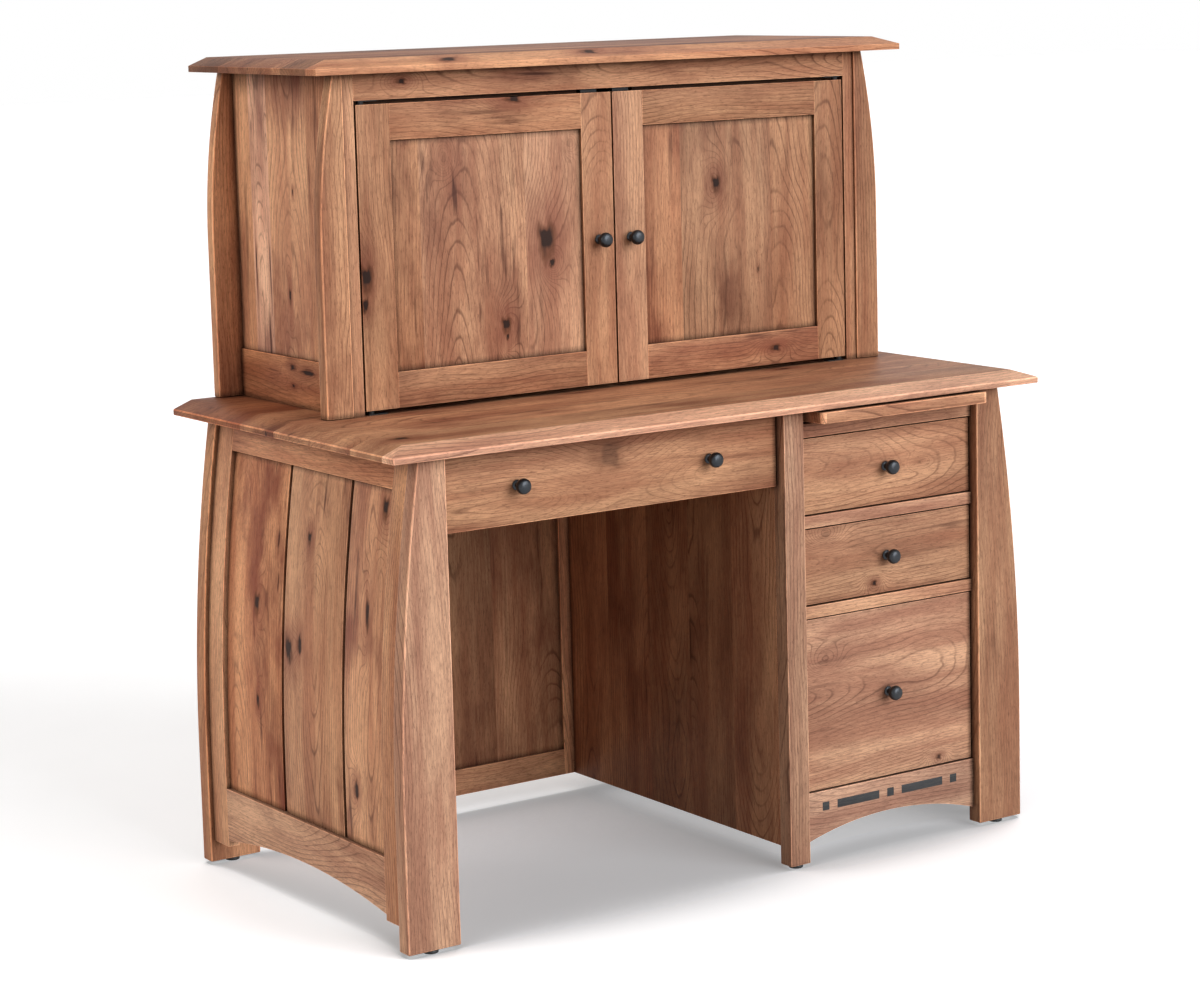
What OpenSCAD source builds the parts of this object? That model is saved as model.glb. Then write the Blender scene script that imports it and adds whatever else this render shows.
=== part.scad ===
// Desk with hutch: bowed legs, one pencil drawer, a drawer pedestal with a writing board,
// and a two-door hutch that stands on the back of the desk top.
// X runs to the right, Y to the back and Z up. The origin is on the floor, under the middle.

/* [Desk top] */
// Width of the desk top
desk_w = 1266; // [1200:1:1400]
// Depth of the desk top, front to back
desk_d = 716; // [680:1:800]
// Height of the desk top above the floor
desk_h = 787; // [775:1:820]
// Thickness of the desk top
top_t = 23; // [18:1:30]
// Width of the slope round the left, front and right of both tops
slope_w = 34; // [10:1:45]
// Drop of that slope
slope_drop = 13; // [4:1:16]
// Reach of the desk top ahead of the legs
front_lap = 34; // [15:1:50]
// Reach of the desk top behind the legs
back_lap = 6; // [2:1:20]
// Reach of the desk top beyond the foot of the legs, at each side
side_lap = 16; // [6:1:40]

/* [Legs] */
// Width of a leg at the floor
leg_w = 93; // [90:1:110]
// Thickness of the legs and the centre post
leg_t = 29; // [24:1:34]
// How far the outer edge of a leg curves in on its way up to the top
leg_bow = 46; // [25:1:50]
// Height at which the curve of a leg starts
bow_start = 206; // [150:1:300]
// Width of the centre post
post_w = 40; // [32:1:50]
// Diameter of the glides
glide_d = 24; // [18:1:28]
// Height of the glides
glide_h = 6; // [4:1:12]

/* [Desk sides] */
// Step from the outer edge of a leg in to the side frame
side_step = 8; // [4:1:12]
// Thickness of the side frame
side_t = 20; // [16:1:22]
// Width of the stiles of the side frame
side_stile_w = 50; // [35:1:70]
// Height of the top rail of the side frame
side_top_h = 56; // [40:1:80]
// Height of the bottom rail of the side frame at its ends
side_low_h = 100; // [80:1:130]
// Height of the side frame's lower ends above the floor
side_z = 42; // [30:1:60]
// Rise of the arch under the side frame
side_arch = 33; // [15:1:45]
// Step from the side frame in to its boards
board_step = 8; // [4:1:10]
// Thickness of the side boards
board_t = 10; // [9:1:12]
// Width of the front side board
front_board_w = 127; // [90:1:170]
// Width of the grooves between the side boards
groove_w = 8; // [4:1:12]
// Thickness of the tongue behind a groove
tongue_t = 4; // [3:1:6]

/* [Desk back] */
// Step from the back of the legs in to the back frame
back_step = 16; // [8:1:20]
// Thickness of the back frame
back_t = 20; // [16:1:24]
// Width of the stiles and the top rail of the back frame
back_stile_w = 60; // [40:1:80]
// Height of the bottom rail of the back frame
back_low_h = 46; // [35:1:80]
// Height of the back frame and the pedestal walls above the floor
back_z = 37; // [25:1:60]
// Thickness of the back panels
back_panel_t = 8; // [5:1:12]

/* [Pedestal] */
// Width of the opening for the pedestal drawers
pedestal_w = 370; // [340:1:420]
// Thickness of the pedestal wall beside the kneehole
wall_t = 19; // [15:1:24]
// Thickness of the lining boards beside the slides
liner_t = 12; // [9:1:13]
// Step from the front of the legs back to the drawer fronts
front_step = 19; // [14:1:26]
// Step from the front of the legs back to the drawer rails
rail_step = 16; // [8:1:20]
// Thickness of the drawer rails
rail_t = 22; // [18:1:24]
// Height of the two rails between the drawers
rail_h = 20; // [15:0.5:26]
// Height of the rail under the writing board
high_rail_h = 22.5; // [18:0.5:30]
// Height of the front of each of the two small drawers
small_front_h = 125.5; // [112:0.5:129]
// Height of the front of the pencil drawer
pencil_front_h = 121.5; // [100:0.5:140]
// Gap round a drawer front
reveal = 2.5; // [1.5:0.5:4]
// Height of the arched rail at its ends
arch_rail_h = 86; // [70:1:110]
// Height of the lower ends of the arched rail above the floor
arch_z = 32; // [20:1:40]
// Rise of the arch under the pedestal
arch_rise = 29; // [15:1:32]
// Height of the inlays
inlay_h = 14.5; // [8:0.5:16]
// Length of the long inlays
inlay_l = 90; // [50:1:95]
// Gap between two inlays
inlay_gap = 17; // [8:1:19]
// Depth of the inlays
inlay_t = 3; // [2:0.5:6]
// Distance from the top of the arched rail to the middle of the inlays
inlay_drop = 26.5; // [16:0.5:30]

/* [Writing board] */
// Thickness of the writing board
pull_t = 19; // [15:0.5:20]
// Depth of the writing board with its lip
pull_d = 570; // [520:1:640]
// Depth of the lip along the front of the writing board
lip_d = 27; // [18:1:40]
// Radius of the front corners of the lip
lip_r = 8; // [3:1:14]
// Gap between the writing board and the opening, at each side
pull_side_gap = 9; // [6:1:14]
// Gap between the writing board and the desk top
pull_top_gap = 3; // [2:0.5:6]
// Gap between the writing board and the rail below it
pull_low_gap = 6; // [2:0.5:8]
// Reach of the lip ahead of the desk top
pull_proud = 6; // [0:1:20]
// Distance that the guides reach over and under the writing board
guide_lap = 12; // [6:1:20]
// Thickness of the lower arm of a guide
guide_t = 14; // [8:1:20]

/* [Drawers] */
// Thickness of the drawer fronts
front_t = 20; // [16:1:24]
// Thickness of the sides, front and back of a drawer box
box_t = 12; // [10:1:16]
// Thickness of the drawer bottoms
bottom_t = 6; // [4:1:8]
// Height of the drawer bottom above the lower edge of its box
bottom_up = 8; // [6:1:12]
// Depth of the grooves that hold the drawer bottoms
dado = 5; // [3:1:6]
// Space between the drawer boxes and the back frame
box_back_gap = 45; // [38:1:80]
// Height of the pencil drawer box
pencil_box_h = 80; // [60:1:90]
// Height of the small drawer boxes
small_box_h = 96; // [70:1:100]
// Height of a file drawer front above its box
file_box_drop = 35.5; // [30:0.5:80]
// Height of a drawer box above the lower edge of its front
box_up = 14; // [8:1:18]
// Width of the rails for hanging files
file_rail_w = 3; // [2:0.5:5]
// Height of the rails for hanging files
file_rail_h = 14; // [8:1:20]

/* [Slides] */
// Distance from each end of a drawer box in to the ends of its slides
slide_set = 3; // [2:1:20]
// Height of the drawer slides
slide_h = 45; // [36:1:50]
// Thickness of a slide, from cabinet to drawer
slide_t = 12.5; // [11:0.5:14]
// Wall of the slide members
slide_wall = 1.2; // [1:0.1:1.4]
// Running clearance between the slide members
slide_gap = 0.4; // [0.3:0.1:0.6]
// Extra height of the packing strips behind the slides, above and below
strip_lap = 5; // [0:1:10]

/* [Knobs] */
// Diameter of the knobs
knob_d = 25; // [20:1:32]
// Reach of the knobs from their drawer or door
knob_out = 28; // [24:1:36]
// Height of the rounded head of a knob
knob_head = 15; // [12:1:18]
// Diameter of the knob's foot
knob_foot_d = 16; // [13:1:20]
// Thickness of the knob's foot
knob_foot_t = 2; // [1:0.5:4]
// Diameter of the knob's neck
knob_neck_d = 9; // [7:1:12]
// Distance from the middle of the pencil drawer out to its knobs
knob_spread = 182; // [120:1:240]

/* [Hutch] */
// Width of the hutch top
hutch_w = 1154; // [1080:1:1200]
// Depth of the hutch top
hutch_d = 427; // [380:1:470]
// Height of the hutch above the desk top
hutch_h = 562; // [500:1:620]
// Thickness of the hutch top
hutch_top_t = 23; // [18:1:30]
// Reach of the hutch top ahead of its posts
hutch_front_lap = 46; // [20:1:60]
// Reach of the hutch top beyond the foot of its posts, at each side
hutch_side_lap = 21; // [10:1:40]
// Width of the hutch posts at their foot
hpost_w = 48; // [42:1:60]
// Thickness of the hutch posts
hpost_t = 20; // [18:1:26]
// How far the front hutch posts stand out ahead of the face frame and doors
hpost_proud = 4; // [2:1:8]
// How far the back hutch posts reach in behind the hutch sides
hpost_lap = 6; // [3:1:10]
// How far the outer edge of a hutch post curves in
hpost_bow = 31; // [15:1:34]
// Height above the desk top at which the curve of a hutch post starts
hbow_start = 259; // [150:1:300]
// Step from the inner edge of a post out to the face of the hutch side
hside_out = 4; // [3:1:8]
// Thickness of the hutch sides
hside_t = 20; // [16:1:22]
// Height of the bottom rails of the hutch sides and back
hside_low_h = 79; // [60:1:100]
// Height of the top rail of the hutch back
hback_top_h = 60; // [40:1:80]
// Step from the bottom rail of a hutch side in to the panel above it
hpanel_step = 4; // [3:1:7]
// Width of the face stiles beside the doors
face_stile_w = 21; // [19:1:35]
// Height of the rail above the doors
face_rail_h = 43; // [30:1:60]
// Thickness of the back panel
hback_t = 6; // [4:1:9]
// Thickness of the shelf
shelf_t = 19; // [15:1:25]
// Height of the shelf above the desk top
shelf_up = 262; // [180:1:330]
// Distance from the doors back to the front of the shelf
shelf_set = 20; // [12:1:60]
// Clearance round the shelf
shelf_gap = 0.5; // [0.3:0.1:0.9]
// Diameter of the shelf pins
pin_d = 5; // [4:0.5:7]
// Distance between two holes for the shelf pins
pin_pitch = 32; // [20:1:40]

/* [Doors] */
// Thickness of the doors
door_t = 20; // [17:1:22]
// Width of the door stiles
door_stile_w = 60; // [50:1:75]
// Height of the door rails
door_rail_h = 57.5; // [45:0.5:75]
// Thickness of the door panels
door_panel_t = 8; // [5:1:10]
// Step from the face of a door in to its panel
door_panel_step = 6; // [4:1:8]
// Gap beside a door
door_gap = 3.5; // [2:0.5:4]
// Gap between the two doors
door_mid_gap = 3.5; // [2:0.5:5]
// Gap above a door
door_top_gap = 6.5; // [5:0.5:9]
// Gap below a door
door_low_gap = 7; // [5:0.5:9]
// Distance from a door's outer edge in to its pivot
pivot_in = 11; // [9:0.5:14]
// Distance from a door's face back to its pivot
pivot_back = 6.5; // [5.5:0.5:6.5]
// Diameter of the pivot pins
pivot_d = 5; // [4:0.5:6]
// Depth of the pivot sockets in a door
pivot_deep = 16; // [10:1:22]

/* [Hidden] */
$fn = 64;

hickory = "#a9714a";
hickory_light = "#c08a5c";
hickory_dark = "#8f5d3c";
maple = "#d9b98c";
black = "#26221f";
steel = "#b8babd";
// Extra length of a cutting shape past the face that it cuts
past = 1;
// Flat pieces in a curved edge
arc_steps = 14;

// Places from front to back
back_y = (desk_d + pull_proud) / 2;
top_front_y = back_y - desk_d;
leg_y = top_front_y + front_lap;
leg_back_y = back_y - back_lap;
back_leg_y = leg_back_y - leg_t;
frame_y = leg_back_y - back_step - back_t;
front_y = leg_y + front_step;
rail_y = leg_y + rail_step;
box_y = front_y + front_t;
box_l = frame_y - box_y - box_back_gap;
slide_y = box_y + slide_set;
slide_l = box_l - 2 * slide_set;
hpost_y = back_y - hutch_d + hutch_front_lap;
hback_post_y = back_y - hpost_t;

// Places from side to side
leg_x = desk_w / 2 - side_lap;
leg_in_x = leg_x - leg_w;
post_x1 = leg_in_x - pedestal_w;
post_x0 = post_x1 - post_w;
wall_x = post_x0 + wall_t;
hpost_x = hutch_w / 2 - hutch_side_lap;
hpost_in_x = hpost_x - hpost_w;
hback_in_x = hpost_in_x - hpost_lap;
hside_x1 = hpost_in_x + hside_out;
hside_x0 = hside_x1 - hside_t;
door_open_x = hpost_in_x - face_stile_w;

// Heights
under_z = desk_h - top_t;
hutch_z = desk_h + hutch_h;
hunder_z = hutch_z - hutch_top_t;
pull_z = under_z - pull_top_gap - pull_t;
// Running clearance of the writing board in its guides
pull_gap = 0.4;
high_rail_z = pull_z - pull_low_gap - high_rail_h;
upper_z = high_rail_z - reveal - small_front_h;
rail_z2 = upper_z - reveal - rail_h;
lower_z = rail_z2 - reveal - small_front_h;
rail_z3 = lower_z - reveal - rail_h;
arch_top_z = arch_z + arch_rail_h;
file_z = arch_top_z + reveal;
file_front_h = rail_z3 - reveal - file_z;
file_box_h = file_front_h - box_up - file_box_drop;
pencil_z = under_z - reveal - pencil_front_h;
door_z = desk_h + door_low_gap;
door_h = hunder_z - face_rail_h - door_top_gap - door_z;
door_w = door_open_x - door_gap - door_mid_gap / 2;

// Curve of the outer edge of the legs, seen from the front
bow_r = (pow(under_z - bow_start, 2) + pow(leg_bow, 2)) / (2 * leg_bow);
// Curve of the outer edge of the hutch posts
hbow_z = desk_h + hbow_start;
hbow_r = (pow(hunder_z - hbow_z, 2) + pow(hpost_bow, 2)) / (2 * hpost_bow);

// Outer edge at height z of a bowed part: x at its foot, start and radius of the curve, and step in
function bow_x(z, x, start, r, cut) =
  z <= start ? x - cut : x - r + sqrt(pow(r - cut, 2) - pow(z - start, 2));
// Points up that edge from z0 to z1
function bow_edge(z0, z1, x, start, r, cut) =
  let (zc = max(z0, start))
  concat(
    z0 < start ? [[x - cut, z0]] : [],
    [for (i = [0 : arc_steps]) let (z = zc + (z1 - zc) * i / arc_steps)
      [bow_x(z, x, start, r, cut), z]]);
function desk_edge(z0, z1, cut) = bow_edge(z0, z1, leg_x, bow_start, bow_r, cut);
function flipped(points) = [for (i = [len(points) - 1 : -1 : 0]) points[i]];
// Points of an arch over a span from u0 to u1 that stands on height z
function arch_edge(u0, u1, z, rise) =
  let (half = (u1 - u0) / 2, r = (half * half + rise * rise) / (2 * rise))
  [for (i = [0 : arc_steps]) let (u = -half + 2 * half * i / arc_steps)
    [u0 + half + u, z + sqrt(r * r - u * u) - r + rise]];

module block(x0, x1, y0, y1, z0, z1) {
  translate([x0, y0, z0]) cube([x1 - x0, y1 - y0, z1 - z0]);
}

// An outline of x and z points, given its depth from y0 to y1
module front_prism(points, y0, y1) {
  translate([0, y1, 0]) rotate([90, 0, 0]) linear_extrude(y1 - y0) polygon(points);
}

// An outline of y and z points, given its width from x0 to x1
module side_prism(points, x0, x1) {
  translate([x0, 0, 0]) rotate([90, 0, 90]) linear_extrude(x1 - x0) polygon(points);
}

module both_sides() {
  children();
  mirror([1, 0, 0]) children();
}

// A top that slopes to a thin edge at its left, front and right, and is square at the back
module sloped_top(w, y0, y1, z0, t) {
  edge_z = z0 + t - slope_drop;
  intersection() {
    front_prism([[-w / 2, z0], [w / 2, z0], [w / 2, edge_z], [w / 2 - slope_w, z0 + t],
      [-w / 2 + slope_w, z0 + t], [-w / 2, edge_z]], y0, y1);
    side_prism([[y0, z0], [y1, z0], [y1, z0 + t], [y0 + slope_w, z0 + t], [y0, edge_z]],
      -w / 2, w / 2);
  }
}

module desk_top() {
  color(hickory) sloped_top(desk_w, top_front_y, back_y, under_z, top_t);
}

// A leg: straight inner edge, outer edge that bows in on its way up
module leg(y0) {
  color(hickory) front_prism(
    concat([[leg_in_x, glide_h]], desk_edge(glide_h, under_z, 0), [[leg_in_x, under_z]]),
    y0, y0 + leg_t);
}

module front_left_leg() mirror([1, 0, 0]) leg(leg_y);
module back_left_leg() mirror([1, 0, 0]) leg(back_leg_y);
module front_right_leg() leg(leg_y);
module back_right_leg() leg(back_leg_y);

module center_post() {
  color(hickory) block(post_x0, post_x1, leg_y, leg_y + leg_t, glide_h, under_z);
}

// A piece of the curved side, from y0 to y1 and z0 to z1, with its face set in by cut
module side_shell(cut, t, y0, y1, z0, z1) {
  front_prism(concat(desk_edge(z0, z1, cut), flipped(desk_edge(z0, z1, cut + t))), y0, y1);
}

side_y0 = leg_y + leg_t;
side_y1 = back_leg_y;
open_y0 = side_y0 + side_stile_w;
open_y1 = side_y1 - side_stile_w;
open_z0 = side_z + side_low_h;
open_z1 = under_z - side_top_h;

// Two stiles, a top rail and a bottom rail with an arch, all bowed like the legs
module side_frame() {
  color(hickory) {
    side_shell(side_step, side_t, side_y0, open_y0, side_z, under_z);
    side_shell(side_step, side_t, open_y1, side_y1, side_z, under_z);
    side_shell(side_step, side_t, open_y0, open_y1, open_z1, under_z);
    difference() {
      side_shell(side_step, side_t, open_y0, open_y1, side_z, open_z0);
      side_prism(concat([[side_y0, side_z - past]], arch_edge(side_y0, side_y1, side_z, side_arch),
        [[side_y1, side_z - past]]), leg_in_x - past, leg_x + past);
    }
  }
}

// Three upright boards; the tongue on one edge of a board closes the groove to the next
module side_boards() {
  wide = (open_y1 - open_y0 - front_board_w - 2 * groove_w) / 2;
  starts = [open_y0, open_y0 + front_board_w + groove_w, open_y1 - wide];
  ends = [open_y0 + front_board_w, open_y0 + front_board_w + groove_w + wide, open_y1];
  for (i = [0 : 2]) color(i == 1 ? hickory_light : hickory) union() {
    side_shell(side_step + board_step, board_t, starts[i], ends[i], open_z0, open_z1);
    if (i < 2) side_shell(side_step + board_step + board_t - tongue_t, tongue_t,
      ends[i], ends[i] + groove_w, open_z0, open_z1);
  }
}

module left_side_frame() mirror([1, 0, 0]) side_frame();
module left_side_boards() mirror([1, 0, 0]) side_boards();
module right_side_frame() side_frame();
module right_side_boards() side_boards();

mullion_x = (post_x0 + wall_x) / 2;
back_open = [[-leg_in_x + back_stile_w, mullion_x - back_stile_w / 2],
  [mullion_x + back_stile_w / 2, leg_in_x - back_stile_w]];
back_low_z = back_z + back_low_h;
back_high_z = under_z - back_stile_w;

module back_frame() {
  y1 = frame_y + back_t;
  color(hickory) {
    block(-leg_in_x, back_open[0][0], frame_y, y1, back_z, under_z);
    block(back_open[0][1], back_open[1][0], frame_y, y1, back_z, under_z);
    block(back_open[1][1], leg_in_x, frame_y, y1, back_z, under_z);
    for (o = back_open) {
      block(o[0], o[1], frame_y, y1, back_z, back_low_z);
      block(o[0], o[1], frame_y, y1, back_high_z, under_z);
    }
  }
}

module back_panels() {
  y0 = frame_y + (back_t - back_panel_t) / 2;
  color(hickory_dark) for (o = back_open)
    block(o[0], o[1], y0, y0 + back_panel_t, back_low_z, back_high_z);
}

module pedestal_wall() {
  color(hickory_dark) block(post_x0, wall_x, leg_y + leg_t, frame_y, back_z, under_z);
}

module pedestal_liner() {
  color(maple) block(leg_in_x, leg_in_x + liner_t, leg_y + leg_t, frame_y, back_z, under_z);
}

module drawer_rails() {
  color(hickory_light) {
    block(post_x1, leg_in_x, rail_y, rail_y + rail_t, high_rail_z, high_rail_z + high_rail_h);
    for (z = [rail_z2, rail_z3])
      block(post_x1, leg_in_x, rail_y, rail_y + rail_t, z, z + rail_h);
  }
}

inlay_mid_x = (post_x1 + leg_in_x) / 2;
inlay_z = arch_top_z - inlay_drop;
// Square, long, square, long, square: each as the distance of its middle from the middle one, and its length
inlay_pitch = (inlay_h + inlay_l) / 2 + inlay_gap;
inlay_row = [[-2 * inlay_pitch, inlay_h], [-inlay_pitch, inlay_l], [0, inlay_h],
  [inlay_pitch, inlay_l], [2 * inlay_pitch, inlay_h]];

module inlay_blocks(y0, y1) {
  for (p = inlay_row) block(inlay_mid_x + p[0] - p[1] / 2, inlay_mid_x + p[0] + p[1] / 2,
    y0, y1, inlay_z - inlay_h / 2, inlay_z + inlay_h / 2);
}

module arched_rail() {
  color(hickory_light) difference() {
    front_prism(concat([[post_x1, arch_top_z]], arch_edge(post_x1, leg_in_x, arch_z, arch_rise),
      [[leg_in_x, arch_top_z]]), rail_y, rail_y + rail_t);
    inlay_blocks(rail_y - past, rail_y + inlay_t);
  }
}

module inlays() {
  color(black) inlay_blocks(rail_y, rail_y + inlay_t);
}

module glides() {
  foot_x = leg_in_x + leg_w / 2;
  color(black) for (p = [[-foot_x, leg_y], [foot_x, leg_y], [-foot_x, back_leg_y],
      [foot_x, back_leg_y], [(post_x0 + post_x1) / 2, leg_y]])
    translate([p[0], p[1] + leg_t / 2, 0]) cylinder(d = glide_d, h = glide_h);
}

// Openings of the four drawers: left, right, foot of the front, height of the box
pencil_bay = [-leg_in_x, post_x0, pencil_z, pencil_box_h];
upper_bay = [post_x1, leg_in_x, upper_z, small_box_h];
lower_bay = [post_x1, leg_in_x, lower_z, small_box_h];
file_bay = [post_x1, leg_in_x, file_z, file_box_h];
bays = [pencil_bay, upper_bay, lower_bay, file_bay];
function slide_z(bay) = bay[2] + box_up + bay[3] / 2;

guide_y0 = rail_y + rail_t;
guide_y1 = frame_y;

// A wooden guide that holds one edge of the writing board from below, beside and above
module board_guide(x_wall, x_edge, x_lap) {
  low = pull_z - pull_gap;
  high = pull_z + pull_t + pull_gap;
  front_prism([[x_wall, low - guide_t], [x_lap, low - guide_t], [x_lap, low], [x_edge, low],
    [x_edge, high], [x_lap, high], [x_lap, under_z], [x_wall, under_z]], guide_y0, guide_y1);
}

// Packing strips that bring the slides to the edge of the opening, and the board's guides
module slide_strips() {
  strip_h = slide_h / 2 + strip_lap;
  color(maple) {
    for (bay = [upper_bay, lower_bay, file_bay])
      block(wall_x, post_x1, guide_y0, guide_y1, slide_z(bay) - strip_h, slide_z(bay) + strip_h);
    block(-leg_in_x - liner_t, -leg_in_x, leg_y + leg_t, frame_y,
      slide_z(pencil_bay) - strip_h, under_z);
    board_guide(wall_x, post_x1 + pull_side_gap - pull_gap, post_x1 + pull_side_gap + guide_lap);
    board_guide(leg_in_x, leg_in_x - pull_side_gap + pull_gap,
      leg_in_x - pull_side_gap - guide_lap);
  }
}

// One folded steel member: a web with an arm at top and bottom, from x0 to x1 with the web at x0
module channel(x0, x1, h, z) {
  s = x1 > x0 ? slide_wall : -slide_wall;
  front_prism([[x0, z - h / 2], [x1, z - h / 2], [x1, z - h / 2 + slide_wall],
    [x0 + s, z - h / 2 + slide_wall], [x0 + s, z + h / 2 - slide_wall],
    [x1, z + h / 2 - slide_wall], [x1, z + h / 2], [x0, z + h / 2]], slide_y, slide_y + slide_l);
}

slide_nest = slide_wall + slide_gap;

// The member of each slide that is fixed to the desk
module cabinet_slides() {
  color(steel) for (bay = bays) {
    channel(bay[0], bay[0] + slide_t - slide_nest, slide_h, slide_z(bay));
    channel(bay[1], bay[1] - slide_t + slide_nest, slide_h, slide_z(bay));
  }
}

// The member of each slide that runs between the desk's member and the drawer's
module middle_slides(bay) {
  h = slide_h - 2 * slide_nest;
  color(steel) {
    channel(bay[0] + slide_nest, bay[0] + slide_t - slide_nest, h, slide_z(bay));
    channel(bay[1] - slide_nest, bay[1] - slide_t + slide_nest, h, slide_z(bay));
  }
}

// The member of each slide that is fixed to the drawer box
module drawer_runners(bay) {
  h = slide_h - 4 * slide_nest;
  color(steel) {
    channel(bay[0] + slide_t, bay[0] + 2 * slide_nest, h, slide_z(bay));
    channel(bay[1] - slide_t, bay[1] - 2 * slide_nest, h, slide_z(bay));
  }
}

module drawer_front(bay, h) {
  color(hickory) block(bay[0] + reveal, bay[1] - reveal, front_y, box_y, bay[2], bay[2] + h);
}

// Two sides, a front and a back, round a bottom that is held in grooves
module drawer_box(bay) {
  x0 = bay[0] + slide_t;
  x1 = bay[1] - slide_t;
  y1 = box_y + box_l;
  z0 = bay[2] + box_up;
  z1 = z0 + bay[3];
  floor_z = z0 + bottom_up;
  module bottom() block(x0 + box_t - dado, x1 - box_t + dado, box_y + box_t - dado, y1,
    floor_z, floor_z + bottom_t);
  color(maple) {
    difference() {
      union() {
        block(x0, x0 + box_t, box_y, y1, z0, z1);
        block(x1 - box_t, x1, box_y, y1, z0, z1);
      }
      bottom();
    }
    difference() {
      block(x0 + box_t, x1 - box_t, box_y, box_y + box_t, z0, z1);
      bottom();
    }
    block(x0 + box_t, x1 - box_t, y1 - box_t, y1, floor_z + bottom_t, z1);
    bottom();
  }
}

// A turned knob that points to the front: foot, neck and rounded head
module knob(x, y, z) {
  head_z = knob_out - knob_head;
  color(black) translate([x, y, z]) rotate([90, 0, 0]) rotate_extrude() polygon(concat(
    [[0, 0], [knob_foot_d / 2, 0], [knob_foot_d / 2, knob_foot_t], [knob_neck_d / 2, head_z / 2]],
    [for (a = [-60 : 20 : 80]) [knob_d / 2 * cos(a), head_z + knob_head / 2 * (1 + sin(a))]],
    [[0, knob_out]]));
}

function bay_mid(bay) = (bay[0] + bay[1]) / 2;

module pencil_drawer_front() drawer_front(pencil_bay, pencil_front_h);
module pencil_drawer_box() drawer_box(pencil_bay);
module pencil_drawer_knobs() {
  for (s = [-1, 1])
    knob(bay_mid(pencil_bay) + s * knob_spread, front_y, pencil_z + pencil_front_h / 2);
}
module pencil_drawer_runners() drawer_runners(pencil_bay);
module pencil_middle_slides() middle_slides(pencil_bay);

module upper_drawer_front() drawer_front(upper_bay, small_front_h);
module upper_drawer_box() drawer_box(upper_bay);
module upper_drawer_knob() knob(bay_mid(upper_bay), front_y, upper_z + small_front_h / 2);
module upper_drawer_runners() drawer_runners(upper_bay);
module upper_middle_slides() middle_slides(upper_bay);

module lower_drawer_front() drawer_front(lower_bay, small_front_h);
module lower_drawer_box() drawer_box(lower_bay);
module lower_drawer_knob() knob(bay_mid(lower_bay), front_y, lower_z + small_front_h / 2);
module lower_drawer_runners() drawer_runners(lower_bay);
module lower_middle_slides() middle_slides(lower_bay);

module file_drawer_front() drawer_front(file_bay, file_front_h);
module file_drawer_box() {
  drawer_box(file_bay);
  // Rails along the top of the sides, for hanging files
  z = file_z + box_up + file_box_h;
  color(steel) for (x = [post_x1 + slide_t + box_t / 2, leg_in_x - slide_t - box_t / 2])
    block(x - file_rail_w / 2, x + file_rail_w / 2, box_y + box_t, box_y + box_l - box_t,
      z, z + file_rail_h);
}
module file_drawer_knob() knob(bay_mid(file_bay), front_y, file_z + file_front_h / 2);
module file_drawer_runners() drawer_runners(file_bay);
module file_middle_slides() middle_slides(file_bay);

pull_x0 = post_x1 + pull_side_gap;
pull_x1 = leg_in_x - pull_side_gap;
pull_y = top_front_y - pull_proud;

module writing_board() {
  color(hickory_light) block(pull_x0, pull_x1, pull_y + lip_d, pull_y + pull_d, pull_z, pull_z + pull_t);
}

// The lip across the front of the board, with round front corners
module writing_board_lip() {
  corner = [for (i = [0 : 6]) let (a = 90 * i / 6) [lip_r * (1 - sin(a)), lip_r * (1 - cos(a))]];
  color(hickory_light) translate([0, 0, pull_z]) linear_extrude(pull_t) polygon(concat(
    [[pull_x1, pull_y + lip_d], [pull_x0, pull_y + lip_d]],
    [for (p = flipped(corner)) [pull_x0 + p[0], pull_y + p[1]]],
    [for (p = corner) [pull_x1 - p[0], pull_y + p[1]]]));
}

module hutch_top() {
  color(hickory) sloped_top(hutch_w, back_y - hutch_d, back_y, hunder_z, hutch_top_t);
}

module hutch_post(in_x, y0, y1) {
  front_prism(concat([[in_x, desk_h]], bow_edge(desk_h, hunder_z, hpost_x, hbow_z, hbow_r, 0),
    [[in_x, hunder_z]]), y0, y1);
}

// Four posts, bowed like the legs; the front ones stand out ahead
module hutch_posts() {
  color(hickory) both_sides() {
    hutch_post(hpost_in_x, hpost_y - hpost_proud, hpost_y + hpost_t);
    hutch_post(hback_in_x, hback_post_y, back_y);
  }
}

hside_y0 = hpost_y + hpost_t;
hpanel_z0 = desk_h + hside_low_h;
hback_rail_z = hunder_z - hback_top_h;

// Middles of the shelf pins, from front to back
pin_ys = [hside_y0 + shelf_set + pin_d * 3, hback_post_y - hback_t - pin_d * 4];
shelf_z = desk_h + shelf_up;
pin_reach = 8;
pin_deep = 9;

module shelf_pin(y, z, deep, reach) {
  translate([hside_x0 - reach, y, z]) rotate([0, 90, 0]) cylinder(d = pin_d, h = deep + reach);
}

// A broad rail at the foot of each side of the hutch, from post to post
module hutch_side_frames() {
  color(hickory) both_sides()
    block(hside_x0, hside_x1, hside_y0, hback_post_y, desk_h, hpanel_z0);
}

// The panel above it, with five holes for each shelf pin
module hutch_side_panels() {
  color(hickory_light) both_sides() difference() {
    block(hside_x0, hside_x1 - hpanel_step, hside_y0, hback_post_y, hpanel_z0, hunder_z);
    for (y = pin_ys) for (k = [-2 : 2])
      shelf_pin(y, shelf_z - pin_d / 2 + k * pin_pitch, pin_deep, past);
  }
}

module hutch_face_frame() {
  color(hickory) {
    both_sides() block(door_open_x, hpost_in_x, hpost_y, hside_y0, desk_h, hunder_z);
    block(-door_open_x, door_open_x, hpost_y, hside_y0, hunder_z - face_rail_h, hunder_z);
  }
}

// Two rails between the back posts, and the panel in front of them
module hutch_back() {
  color(hickory) {
    block(-hback_in_x, hback_in_x, hback_post_y, back_y, desk_h, hpanel_z0);
    block(-hback_in_x, hback_in_x, hback_post_y, back_y, hback_rail_z, hunder_z);
  }
  color(hickory_dark)
    block(-hside_x0, hside_x0, hback_post_y - hback_t, hback_post_y, desk_h, hunder_z);
}

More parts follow.
